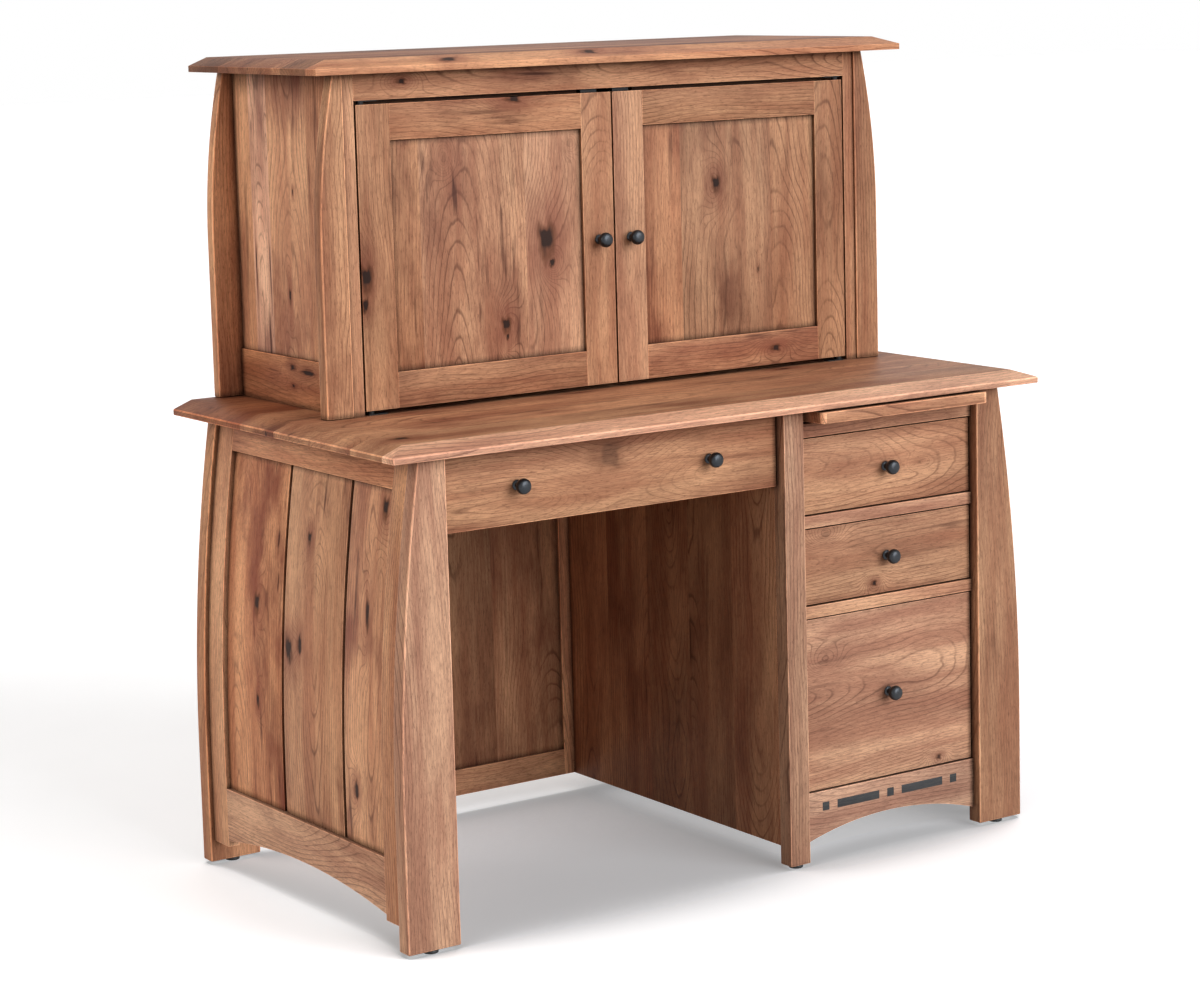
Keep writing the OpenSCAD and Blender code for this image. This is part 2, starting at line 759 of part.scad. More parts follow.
module hutch_shelf() {
  color(hickory) block(-hside_x0 + shelf_gap, hside_x0 - shelf_gap, hside_y0 + shelf_set,
    hback_post_y - hback_t - shelf_gap, shelf_z, shelf_z + shelf_t);
}

module shelf_pins() {
  color(black) both_sides() for (y = pin_ys)
    shelf_pin(y, shelf_z - pin_d / 2, pin_deep, pin_reach);
}

pivot_x = door_open_x - door_gap - pivot_in;
pivot_y = hpost_y + pivot_back;
plate_t = 1.5;
plate_l = 34;
plate_w = 13;
sleeve_wall = 1.5;
pivot_gap = 0.2;
sleeve_d = pivot_d + 2 * pivot_gap + 2 * sleeve_wall;
door_top_z = door_z + door_h;
rail_under_z = hunder_z - face_rail_h;
pin_len = pivot_deep - 1;

// A plate with a pin at the foot and the head of each door, fixed to the desk top and the rail
module pivot_plates() {
  color(black) both_sides() {
    x0 = pivot_x - plate_l + plate_w / 2;
    union() {
      block(x0, x0 + plate_l, pivot_y - plate_w / 2, pivot_y + plate_w / 2, desk_h, desk_h + plate_t);
      translate([pivot_x, pivot_y, desk_h]) cylinder(d = pivot_d, h = door_low_gap + pin_len);
    }
    union() {
      block(x0, x0 + plate_l, pivot_y - plate_w / 2, pivot_y + plate_w / 2,
        rail_under_z - plate_t, rail_under_z);
      translate([pivot_x, pivot_y, door_top_z - pin_len])
        cylinder(d = pivot_d, h = door_top_gap + pin_len);
    }
  }
}

catch_w = 32;
catch_d = 14;
catch_lap = 12;
catch_x = door_mid_gap / 2 + door_stile_w / 2;
strike_t = 1;
// Clearance between a catch and its door
catch_gap = 0.4;

// A magnetic catch behind the rail for each door
module door_catches() {
  y0 = hside_y0;
  z0 = door_top_z - catch_lap;
  color(black) both_sides() side_prism([[y0, rail_under_z], [y0, rail_under_z + catch_lap],
    [y0 + catch_d, rail_under_z + catch_lap], [y0 + catch_d, z0], [y0 + catch_gap, z0],
    [y0 + catch_gap, rail_under_z]], catch_x - catch_w / 2, catch_x + catch_w / 2);
}

// A right-hand door, from the middle gap out to the hinge side
door_x0 = door_mid_gap / 2;
door_x1 = door_x0 + door_w;
door_y1 = hpost_y + door_t;

module door_frame() {
  z1 = door_top_z;
  color(hickory) {
    difference() {
      block(door_x0, door_x0 + door_stile_w, hpost_y, door_y1, door_z, z1);
      strike();
    }
    difference() {
      block(door_x1 - door_stile_w, door_x1, hpost_y, door_y1, door_z, z1);
      translate([pivot_x, pivot_y, door_z - past]) cylinder(d = sleeve_d, h = pivot_deep + past);
      translate([pivot_x, pivot_y, z1 - pivot_deep]) cylinder(d = sleeve_d, h = pivot_deep + past);
    }
    for (z = [door_z, z1 - door_rail_h])
      block(door_x0 + door_stile_w, door_x1 - door_stile_w, hpost_y, door_y1, z, z + door_rail_h);
  }
}

module door_panel() {
  y0 = hpost_y + door_panel_step;
  color(hickory_light) block(door_x0 + door_stile_w, door_x1 - door_stile_w, y0, y0 + door_panel_t,
    door_z + door_rail_h, door_top_z - door_rail_h);
}

// The steel plate that the catch holds, let into the back of the door
module strike() {
  block(catch_x - catch_w / 4, catch_x + catch_w / 4, door_y1 - strike_t, door_y1,
    door_top_z - catch_lap, door_top_z - strike_t * 2);
}

// Flanged sleeves that turn on the pins
module door_pivots() {
  bore_d = pivot_d + 2 * pivot_gap;
  low_flange = door_low_gap - plate_t - pivot_gap;
  high_flange = door_top_gap - plate_t - pivot_gap;
  flange_d = sleeve_d + 2 * sleeve_wall;
  color(black) {
    difference() {
      union() {
        translate([pivot_x, pivot_y, door_z - low_flange]) cylinder(d = flange_d, h = low_flange);
        translate([pivot_x, pivot_y, door_z]) cylinder(d = sleeve_d, h = pivot_deep);
      }
      translate([pivot_x, pivot_y, door_z - low_flange - past])
        cylinder(d = bore_d, h = low_flange + pivot_deep + 2 * past);
    }
    difference() {
      union() {
        translate([pivot_x, pivot_y, door_top_z]) cylinder(d = flange_d, h = high_flange);
        translate([pivot_x, pivot_y, door_top_z - pivot_deep]) cylinder(d = sleeve_d, h = pivot_deep);
      }
      translate([pivot_x, pivot_y, door_top_z - pivot_deep - past])
        cylinder(d = bore_d, h = high_flange + pivot_deep + 2 * past);
    }
    strike();
  }
}

module door_knob() knob(door_x0 + door_stile_w / 2, hpost_y, door_z + door_h / 2);

module left_door_frame() mirror([1, 0, 0]) door_frame();
module left_door_panel() mirror([1, 0, 0]) door_panel();
module left_door_knob() mirror([1, 0, 0]) door_knob();
module left_door_pivots() mirror([1, 0, 0]) door_pivots();
module right_door_frame() door_frame();
module right_door_panel() door_panel();
module right_door_knob() door_knob();
module right_door_pivots() door_pivots();

desk_top();
front_left_leg();
back_left_leg();
front_right_leg();
back_right_leg();
center_post();
left_side_frame();
left_side_boards();
right_side_frame();
right_side_boards();
back_frame();
back_panels();
pedestal_wall();
pedestal_liner();
drawer_rails();
arched_rail();
inlays();
glides();
slide_strips();
cabinet_slides();
hutch_top();
hutch_posts();
hutch_side_frames();
hutch_side_panels();
hutch_face_frame();
hutch_back();
hutch_shelf();
shelf_pins();
pivot_plates();
door_catches();
left_door_frame();
left_door_panel();
left_door_knob();
left_door_pivots();
right_door_frame();
right_door_panel();
right_door_knob();
right_door_pivots();
pencil_drawer_front();
pencil_drawer_box();
pencil_drawer_knobs();
pencil_drawer_runners();
pencil_middle_slides();
upper_drawer_front();
upper_drawer_box();
upper_drawer_knob();
upper_drawer_runners();
upper_middle_slides();
lower_drawer_front();
lower_drawer_box();
lower_drawer_knob();
lower_drawer_runners();
lower_middle_slides();
file_drawer_front();
file_drawer_box();
file_drawer_knob();
file_drawer_runners();
file_middle_slides();
writing_board();
writing_board_lip();
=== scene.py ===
# %% [markdown]
# # A desk with a hutch, in knotty hickory
# The desk stands on bowed legs, with a kneehole on the left and a pedestal of drawers on the
# right. A hutch with two doors stands on its top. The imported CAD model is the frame: it gives
# every board its size and place, and the doors and drawers their joints. Each board is then
# modelled again over it, with sanded edges and its own grain, and rides on the same body.

# %% Loading the frame
import math
import random

import bpy
from mathutils import Matrix, Vector


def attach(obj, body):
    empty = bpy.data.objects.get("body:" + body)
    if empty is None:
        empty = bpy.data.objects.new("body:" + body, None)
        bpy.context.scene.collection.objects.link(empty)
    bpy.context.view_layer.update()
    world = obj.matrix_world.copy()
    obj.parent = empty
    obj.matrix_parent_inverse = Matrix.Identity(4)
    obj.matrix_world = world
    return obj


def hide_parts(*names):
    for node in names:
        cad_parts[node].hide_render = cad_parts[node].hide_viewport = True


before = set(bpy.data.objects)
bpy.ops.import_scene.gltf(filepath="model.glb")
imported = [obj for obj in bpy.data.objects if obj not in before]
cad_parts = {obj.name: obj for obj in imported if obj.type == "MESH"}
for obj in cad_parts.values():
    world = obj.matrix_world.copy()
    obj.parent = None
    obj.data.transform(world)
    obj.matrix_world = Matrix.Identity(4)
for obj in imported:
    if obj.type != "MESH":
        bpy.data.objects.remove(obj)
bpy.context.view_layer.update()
print("CAD nodes:", len(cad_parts))

# %% [markdown]
# A cabinetmaker's drawing is in millimetres, and so are the numbers here. They become metres
# only when a piece is made. X runs to the right, Y to the back and Z up from the floor.

# %% Main sizes
MM = 0.001
AXES = "XYZ"

DESK_Z, UNDER_Z, GLIDE_H = 787, 764, 6
LEG_OUT, LEG_IN, BOW_Z, BOW = 617, 524, 206, 46
POST_X0, POST_X1, WALL_X = 114, 154, 133
TOP_Y, LEG_Y, BACK_Y = -355, -321, 361
LEG_T, BACK_LEG_Y, FRAME_Y = 29, 326, 319
FRONT_Y, RAIL_Y, BOX_Y = -302, -305, -282
SLOPE_W, SLOPE_DROP = 34, 13
DESK_W, HUTCH_W, HTOP_Y = 1266, 1154, -66

HUTCH_Z, HUNDER_Z = 1349, 1326
# The front posts stand HPROUD ahead of the doors, and the back ones reach in to HBACK_IN
HPOST_OUT, HPOST_IN, HBACK_IN, HBOW_Z, HBOW = 556, 508, 502, 1046, 31
HPOST_Y, HPROUD, HBACK_POST_Y = -20, 4, 341
HSIDE_OUT, HSIDE_IN, DOOR_OPEN_X = 512, 492, 487
DOOR_X0, DOOR_X1, DOOR_Z0, DOOR_Z1, DOOR_T = 1.75, 483.5, 794, 1276.5, 20
print(f"desk top {DESK_Z} mm high, hutch {HUTCH_Z} mm high")

# %% [markdown]
# A shader is a web of small nodes. One function adds any of them: it sets the node's options,
# fills its inputs with numbers or links, and hands back an output for the next node. Colours
# are written as sRGB hex, as a paint chart gives them, and a second function turns them into
# the linear numbers that a renderer multiplies.


# %% Colour and node helpers
def linear(code):
    """The linear colour of an sRGB hex code."""
    parts = [int(code[i : i + 2], 16) / 255 for i in (1, 3, 5)]
    return (*[c / 12.92 if c <= 0.04045 else ((c + 0.055) / 1.055) ** 2.4 for c in parts], 1.0)


print("the middle grey #808080 is", round(linear("#808080")[0], 3), "in linear light")


def add(tree, kind, *values, give=0, **settings):
    """Adds a node and returns one of its outputs, or the node where give is None.

    values fill the inputs in order. A setting is an option of the node if it has one of that
    name, and otherwise the input of that name, with _ for a space.
    """
    node = tree.nodes.new("ShaderNode" + kind)
    filled = list(zip(node.inputs, values))
    for key, value in settings.items():
        if hasattr(node, key):
            setattr(node, key, value)
        else:
            names = {s.identifier.replace(" ", "_"): s for s in node.inputs}
            filled.append((names[key.replace(" ", "_")], value))
    for socket, value in filled:
        if isinstance(value, bpy.types.NodeSocket):
            tree.links.new(value, socket)
        else:
            socket.default_value = value
    return node if give is None else node.outputs[give]


def new_material(name):
    """A material with nothing but a Principled shader and its output."""
    material = bpy.data.materials.new(name)
    material.use_nodes = True
    tree = material.node_tree
    tree.nodes.clear()
    shader = add(tree, "BsdfPrincipled", give=None)
    add(tree, "OutputMaterial", shader.outputs[0], give=None)
    return material, tree, shader


# %% [markdown]
# Wood could be a stretched noise, but the eye knows how a trunk is built. So each board carries
# its place in the trunk as an attribute called grain: x runs along the trunk, and y and z go
# across it, with the pith at zero. Growth rings are then the distance from the pith, and they
# show as arches on a flat-sawn face, as lines on a quarter-sawn one and as arcs on an end.
# Rustic hickory has dark ring lines, fine pores, purple-brown stains and dark knots.

# %% Patterns of wood
# Waves per metre along, across and through a board, octaves and roughness. Real pores are
# 0.3 mm wide: they are drawn 2 mm wide here, so that they show at this distance.
WOOD_WAVES = {
    "wander": ((2.2, 3.5, 2.5), 1.5, 0.45),
    "waver": ((8.0, 30.0, 30.0), 3.0, 0.6),
    "patch": ((2.5, 12.0, 12.0), 2.0, 0.5),
    "fibre": ((28.0, 520.0, 520.0), 3.0, 0.65),
    "pore": ((95.0, 620.0, 620.0), 2.0, 0.6),
    "band": ((1.6, 21.0, 21.0), 3.0, 0.6),
    "stain": ((3.4, 9.0, 9.0), 4.0, 0.6),
    "streak": ((1.8, 75.0, 75.0), 2.0, 0.5),
    "cloud": ((6.0, 12.0, 12.0), 3.0, 0.55),
}
# How dark a ring is from its start (0) to its end (1)
RING_PROFILE = ((0.0, 1.0), (0.06, 1.0), (0.16, 0.18), (0.45, 0.04), (0.92, 0.0), (1.0, 1.0))
# How far in metres the painted shade of an inner corner reaches into the wood beside it
CORNER_SHADE_REACH = 0.011


def wood_noises(tree, grain):
    """The noises of WOOD_WAVES, by name, laid along the trunk."""
    pattern = {}
    for key, (scale, octaves, rough) in WOOD_WAVES.items():
        place = add(tree, "VectorMath", grain, scale, operation="MULTIPLY")
        output = 1 if key == "wander" else 0
        noise = {"Scale": 1.0, "Detail": octaves, "Roughness": rough}
        pattern[key] = add(tree, "TexNoise", Vector=place, give=output, **noise)
    return pattern


def ring_phase(tree, grain, pattern, ring):
    """The number of rings from the pith to here. ring is a ring's width in millimetres."""
    # The trunk isn't straight: its rings wander by a few centimetres
    middle = add(tree, "VectorMath", grain, (0.0, -0.025, -0.08), operation="ADD")
    bent = add(tree, "VectorMath", pattern["wander"], (0.0, 0.05, 0.16), middle, operation="MULTIPLY_ADD")
    bent = add(tree, "VectorMath", bent, (0.0, 1.0, 1.0), operation="MULTIPLY")
    radius = add(tree, "VectorMath", bent, operation="LENGTH", give=1)
    phase = add(tree, "Math", radius, 1000.0 / ring, operation="MULTIPLY")
    return add(tree, "Math", pattern["waver"], 0.9, phase, operation="MULTIPLY_ADD")


print("noises in a wood:", ", ".join(WOOD_WAVES))

# %% [markdown]
# A knot is the foot of a branch that the trunk grew round. It has a nearly black heart, a brown
# rim and a stained halo, and it pushes the rings aside. Three more attributes give each corner
# of a board its way to up to three knots, in units of the knot's radius.

# %% Knots
KNOT_LAYERS = ("knot_a", "knot_b", "knot_c")
# Where each zone of a knot begins to fade and where it is gone, in radii
KNOT_ZONES = {"heart": (0.5, 0.85), "rim": (0.75, 1.3), "halo": (0.9, 3.8)}


def add_knots(tree, phase):
    """The ring phase bent round the knots, and how strongly each zone shows."""
    marks = dict.fromkeys(KNOT_ZONES, 0.0)
    for i, knot in enumerate(KNOT_LAYERS):
        offset = add(tree, "Attribute", attribute_name=knot, give="Vector")
        strength = add(tree, "SeparateXYZ", offset, give=2)
        flat = add(tree, "VectorMath", offset, (1.0, 1.0, 0.0), operation="MULTIPLY")
        away = add(tree, "VectorMath", flat, flat, operation="DOT_PRODUCT", give=1)
        push = add(tree, "Math", add(tree, "Math", away, -0.11, operation="MULTIPLY"), operation="EXPONENT")
        present = add(tree, "Math", strength, 0.0, operation="GREATER_THAN")
        push = add(tree, "Math", push, present, operation="MULTIPLY")
        phase = add(tree, "Math", push, 7.0, phase, operation="MULTIPLY_ADD")
        # The outline is ragged, in step with the knot's size
        ragged = add(tree, "VectorMath", flat, (0.9, 1.1, 1.0), (3.1 * i, 5.7, 0.0), operation="MULTIPLY_ADD")
        ragged = add(tree, "TexNoise", Vector=ragged, Scale=1.0, Detail=1.5, Roughness=0.5, give=1)
        torn = add(tree, "VectorMath", ragged, (1.7, 1.7, 0.0), flat, operation="MULTIPLY_ADD")
        torn = add(tree, "VectorMath", torn, (-0.85, -0.85, 0.0), operation="ADD")
        edge = add(tree, "VectorMath", torn, operation="LENGTH", give=1)
        for mark, (near, far) in KNOT_ZONES.items():
            inside = add(tree, "MapRange", edge, near, far, 1.0, 0.0, interpolation_type="SMOOTHSTEP")
            inside = add(tree, "Math", inside, strength, operation="MULTIPLY")
            marks[mark] = add(tree, "Math", marks[mark], inside, operation="MAXIMUM")
    return phase, marks


print("zones of a knot:", ", ".join(KNOT_ZONES))

# %% [markdown]
# One function gives every wood of this desk, since they differ only in colour, in the width of
# their rings and in how strongly rings and pores show. It lays one colour over the other: the
# pale wood, broad bands, stains, ring lines, fibres, pores and knots.


# %% Wood
def wood(name, pale, mid, stain, line, ring, figure, pores, gloss):
    """Lacquered wood. ring is the width of a growth ring in millimetres.

    figure and pores are how strongly ring lines and pores show, and gloss is the roughness.
    """
    material, tree, shader = new_material(name)
    grain = add(tree, "Attribute", attribute_name="grain", give="Vector")
    tone = add(tree, "Attribute", attribute_name="tone", give="Vector")
    tone = add(tree, "SeparateXYZ", tone, give=None).outputs
    pattern = wood_noises(tree, grain)
    phase, marks = add_knots(tree, ring_phase(tree, grain, pattern, ring))

    # Ring lines come and go along the board
    ramp = add(tree, "ValToRGB", add(tree, "Math", phase, operation="FRACT"), give=None)
    for place, level in RING_PROFILE[1:-1]:
        ramp.color_ramp.elements.new(place)
    for stop, (place, level) in zip(ramp.color_ramp.elements, RING_PROFILE):
        stop.position, stop.color = place, (level, level, level, 1.0)
    patch = add(tree, "MapRange", pattern["patch"], 0.34, 0.66, 0.2, 1.0, interpolation_type="SMOOTHSTEP")
    rings = add(tree, "Math", ramp.outputs[0], patch, operation="MULTIPLY")

    # Each layer of colour covers the ones before it by its own share
    band = add(tree, "MapRange", pattern["band"], 0.32, 0.68, interpolation_type="SMOOTHSTEP")
    spread = add(tree, "MapRange", pattern["stain"], 0.45, 0.72, interpolation_type="SMOOTHSTEP")
    streak = add(tree, "MapRange", pattern["streak"], 0.62, 0.72, interpolation_type="SMOOTHSTEP")
    streak = add(tree, "Math", streak, add(tree, "Math", spread, 0.35, operation="ADD"), operation="MULTIPLY")
    fibre = add(tree, "MapRange", pattern["fibre"], 0.36, 0.66, interpolation_type="SMOOTHSTEP")
    pore = add(tree, "MapRange", pattern["pore"], 0.56, 0.66, interpolation_type="SMOOTHSTEP")
    layers = [
        (add(tree, "Math", spread, tone[2], operation="MULTIPLY"), stain),
        (add(tree, "Math", rings, figure, operation="MULTIPLY"), line),
        (add(tree, "Math", streak, tone[2], operation="MULTIPLY"), "#4a2b22"),
        (add(tree, "Math", fibre, 0.32, operation="MULTIPLY"), line),
        (add(tree, "Math", pore, pores, operation="MULTIPLY"), line),
        (add(tree, "Math", marks["halo"], 0.55, operation="MULTIPLY"), stain),
        (add(tree, "Math", marks["rim"], 0.8, operation="MULTIPLY"), "#5f3723"),
        (marks["heart"], "#33231e"),
    ]
    colour = linear(pale)
    for share, code in [(band, mid)] + layers:
        paint = {"Factor_Float": share, "A_Color": colour, "B_Color": linear(code)}
        colour = add(tree, "Mix", data_type="RGBA", give=2, **paint)
    redden = {"Factor_Float": tone[1], "A_Color": colour, "B_Color": linear("#f2c4ae")}
    colour = add(tree, "Mix", data_type="RGBA", blend_type="MULTIPLY", give=2, **redden)
    uneven = add(tree, "Math", tone[2], 0.45, 0.25, operation="MULTIPLY_ADD")
    cloud = add(tree, "Math", pattern["cloud"], -0.46, operation="ADD")
    bright = add(tree, "Math", tone[0], 0.97, operation="ADD")
    bright = add(tree, "Math", cloud, uneven, bright, operation="MULTIPLY_ADD")
    # Painted shade: the wood is made darker in inner corners and narrow gaps, where an ambient occlusion node
    # finds little open space
    corner = add(tree, "AmbientOcclusion", samples=4, Distance=CORNER_SHADE_REACH, give="AO")
    corner = add(tree, "MapRange", corner, 0.42, 1.0, 0.18, 1.0)
    bright = add(tree, "Math", bright, corner, operation="MULTIPLY")
    calm = add(tree, "MapRange", tone[1], -1.0, 0.0, 0.0, 1.0)
    colour = add(tree, "HueSaturation", Color=colour, Saturation=calm, Value=bright)
    tree.links.new(colour, shader.inputs["Base Color"])

    # Pores and ring lines are shallow grooves under a satin lacquer. The lacquer's mirror is kept
    # weak, or the white room would lie as a veil on the tops
    rough = add(tree, "Math", pattern["fibre"], 0.16, gloss - 0.08, operation="MULTIPLY_ADD")
    rough = add(tree, "Math", marks["heart"], 0.1, rough, operation="MULTIPLY_ADD")
    tree.links.new(rough, shader.inputs["Roughness"])
    height = add(tree, "Math", pore, -0.7, operation="MULTIPLY")
    height = add(tree, "Math", rings, -0.4, height, operation="MULTIPLY_ADD")
    height = add(tree, "Math", marks["heart"], -1.0, height, operation="MULTIPLY_ADD")
    tree.links.new(add(tree, "Bump", Strength=0.4, Distance=0.0004, Height=height), shader.inputs["Normal"])
    shader.inputs["Specular IOR Level"].default_value = 0.09
    print("wood:", name)
    return material


# %% Three woods
# Hickory, planed and stained warm brown under satin lacquer: dark lines and knots on tan
HICKORY = wood("stained_hickory", "#dca77f", "#b27a5b", "#7b4434", "#563226", 6.2, 0.6, 0.38, 0.5)
# Maple, planed under clear lacquer: pale and quiet, for drawer boxes, strips and linings
MAPLE = wood("clear_maple", "#dcc09a", "#cfae83", "#b98f63", "#a9825a", 4.0, 0.25, 0.15, 0.46)
# Black-dyed hardwood, sanded flush and lacquered with the rail: it shows as dark slate grey
EBONY = wood("black_dyed_hardwood", "#3a3b3d", "#434447", "#2b2b2d", "#55534f", 3.0, 0.2, 0.3, 0.42)

# %% [markdown]
# The metal and plastic parts are small. Their finish is uneven only by a little, so noise in
# Object coordinates is enough: it stays with a piece when a door or a drawer moves.


# %% Metal and plastic
def plain_finish(name, base, worn, metallic, roughness, grit, share, bump):
    """Plated or coated metal, or plastic. grit is in waves per metre along X, Y and Z."""
    material, tree, shader = new_material(name)
    place = add(tree, "TexCoord", give="Object")
    cloud = add(tree, "TexNoise", Vector=place, Scale=40.0, Detail=2.0)
    fine = add(tree, "VectorMath", place, grit, operation="MULTIPLY")
    fine = add(tree, "TexNoise", Vector=fine, Scale=1.0, Detail=4.0, Roughness=0.65)
    colour = linear(base)
    for pattern in (cloud, fine):
        part = add(tree, "MapRange", pattern, 0.45, 0.8, 0.0, share, interpolation_type="SMOOTHSTEP")
        paint = {"Factor_Float": part, "A_Color": colour, "B_Color": linear(worn)}
        colour = add(tree, "Mix", data_type="RGBA", give=2, **paint)
    tree.links.new(colour, shader.inputs["Base Color"])
    rough = add(tree, "Math", fine, 0.2, roughness - 0.1, operation="MULTIPLY_ADD")
    tree.links.new(rough, shader.inputs["Roughness"])
    tree.links.new(add(tree, "Bump", Strength=bump, Distance=0.0002, Height=fine), shader.inputs["Normal"])
    shader.inputs["Metallic"].default_value = metallic
    print("finish:", name)
    return material


# Oil-rubbed bronze, turned and blackened: a soft blue-grey sheen on near black
BRONZE = plain_finish("oil_rubbed_bronze", "#34373b", "#4a4643", 0.8, 0.32, (900.0, 900.0, 900.0), 0.3, 0.1)
# Black moulded polypropylene with a matte mould grain: glides and door catches
PLASTIC = plain_finish(
    "black_polypropylene", "#161616", "#242424", 0.0, 0.5, (1800.0, 1800.0, 1800.0), 0.2, 0.2
)
# Cold-rolled steel with bright zinc plate, drawn along Y: drawer slides and hanging-file rails
ZINC = plain_finish("zinc_plated_steel", "#a9abac", "#c8cacb", 1.0, 0.33, (2200.0, 25.0, 2200.0), 0.5, 0.08)
# Steel blackened in an oxide bath: pivots, their plates and the shelf pins
BLACK_STEEL = plain_finish(
    "black_oxide_steel", "#1b1a1a", "#2d2b29", 0.6, 0.5, (1200.0, 1200.0, 1200.0), 0.3, 0.1
)

# %% [markdown]
# Nearly every piece here was sawn from a board, so two makers are enough. A box starts from the
# cube primitive. An outline starts from a filled circle, whose corners are moved to the outline
# before it is extruded. A sanded edge is a bevel of about a millimetre: without it an edge has
# no highlight and looks cut from paper.


# %% Selecting, modifiers and eased edges
def only(obj):
    """Makes obj the one selected, active object."""
    bpy.ops.object.select_all(action="DESELECT")
    obj.select_set(True)
    bpy.context.view_layer.objects.active = obj


def apply_modifier(obj, kind, **settings):
    """Adds a modifier and applies it at once."""
    modifier = obj.modifiers.new(kind.title(), kind)
    for key, value in settings.items():
        setattr(modifier, key, value)
    only(obj)
    bpy.ops.object.modifier_apply(modifier=modifier.name)


def ease(obj, width, segments=2):
    """Rounds every sharp edge by width millimetres, as sanding does."""
    if width:
        limits = {"limit_method": "ANGLE", "angle_limit": math.radians(35), "use_clamp_overlap": True}
        apply_modifier(obj, "BEVEL", width=width * MM, segments=segments, **limits)
    return obj


# %% Making boards
def box(x0, x1, y0, y1, z0, z1, edge=0.8):
    """A flat board with eased edges."""
    middle = [(x0 + x1) / 2 * MM, (y0 + y1) / 2 * MM, (z0 + z1) / 2 * MM]
    bpy.ops.object.select_all(action="DESELECT")
    bpy.ops.mesh.primitive_cube_add(size=1, location=middle)
    obj = bpy.context.object
    obj.scale = [abs(x1 - x0) * MM, abs(y1 - y0) * MM, abs(z1 - z0) * MM]
    bpy.ops.object.transform_apply(location=True, rotation=True, scale=True)
    return ease(obj, edge)


def prism(points, axis, low, high, edge=0.8):
    """An outline of the two other axes, in their order, extruded from low to high."""
    others = [i for i in range(3) if AXES[i] != axis]
    along = AXES.index(axis)
    bpy.ops.object.select_all(action="DESELECT")
    bpy.ops.mesh.primitive_circle_add(vertices=len(points), fill_type="NGON")
    obj = bpy.context.object
    for vertex, point in zip(obj.data.vertices, points):
        vertex.co[along] = low * MM
        vertex.co[others[0]], vertex.co[others[1]] = point[0] * MM, point[1] * MM
    move = Vector((0, 0, 0))
    move[along] = (high - low) * MM
    bpy.ops.object.mode_set(mode="EDIT")
    bpy.ops.mesh.select_all(action="SELECT")
    bpy.ops.mesh.extrude_region_move(TRANSFORM_OT_translate={"value": move})
    bpy.ops.mesh.select_all(action="SELECT")
    bpy.ops.mesh.normals_make_consistent(inside=False)
    bpy.ops.object.mode_set(mode="OBJECT")
    return ease(obj, edge)


# %% Cutting boards
def cut(obj, tool, operation="DIFFERENCE"):
    """obj after a boolean with tool, which is used up."""
    apply_modifier(obj, "BOOLEAN", operation=operation, solver="EXACT", object=tool)
    bpy.data.objects.remove(tool)
    return obj


def part_at(obj, axis, seams):
    """Bisects obj at each seam, so that no face crosses a glue line."""
    normal = [float(name == axis) for name in AXES]
    only(obj)
    bpy.ops.object.mode_set(mode="EDIT")
    for seam in seams:
        bpy.ops.mesh.select_all(action="SELECT")
        bpy.ops.mesh.bisect(plane_co=[seam * MM * n for n in normal], plane_no=normal)
    bpy.ops.object.mode_set(mode="OBJECT")
    return obj


# %% [markdown]
# saw() decides where in the trunk a board was cut and writes that on the corners of its faces.
# A flat-sawn board has the pith under the middle of its face. A rift-sawn one has it off to a
# side, and a quarter-sawn one far off, which gives straight lines. A broad one was cut far out
# in a thick trunk, and its few lines wander like contours on a map. A trunk also tapers, so a
# board cuts through ever more rings along its length: that is what makes the tall arches.

# %% Sawing the grain
FLAT, BROAD, RIFT, QUARTER = (0, 50), (15, 125), (70, 55), (190, 70)
FAR = (90.0, 90.0, 0.0)
# The stain is sanded thin on the eased edges, and they also carry a painted highlight: faces narrower than
# EDGE_W mm are lighter
EDGE_W, EDGE_WEAR_AND_HIGHLIGHT = 1.4, 0.85
LAYERS = ("grain", "tone") + KNOT_LAYERS


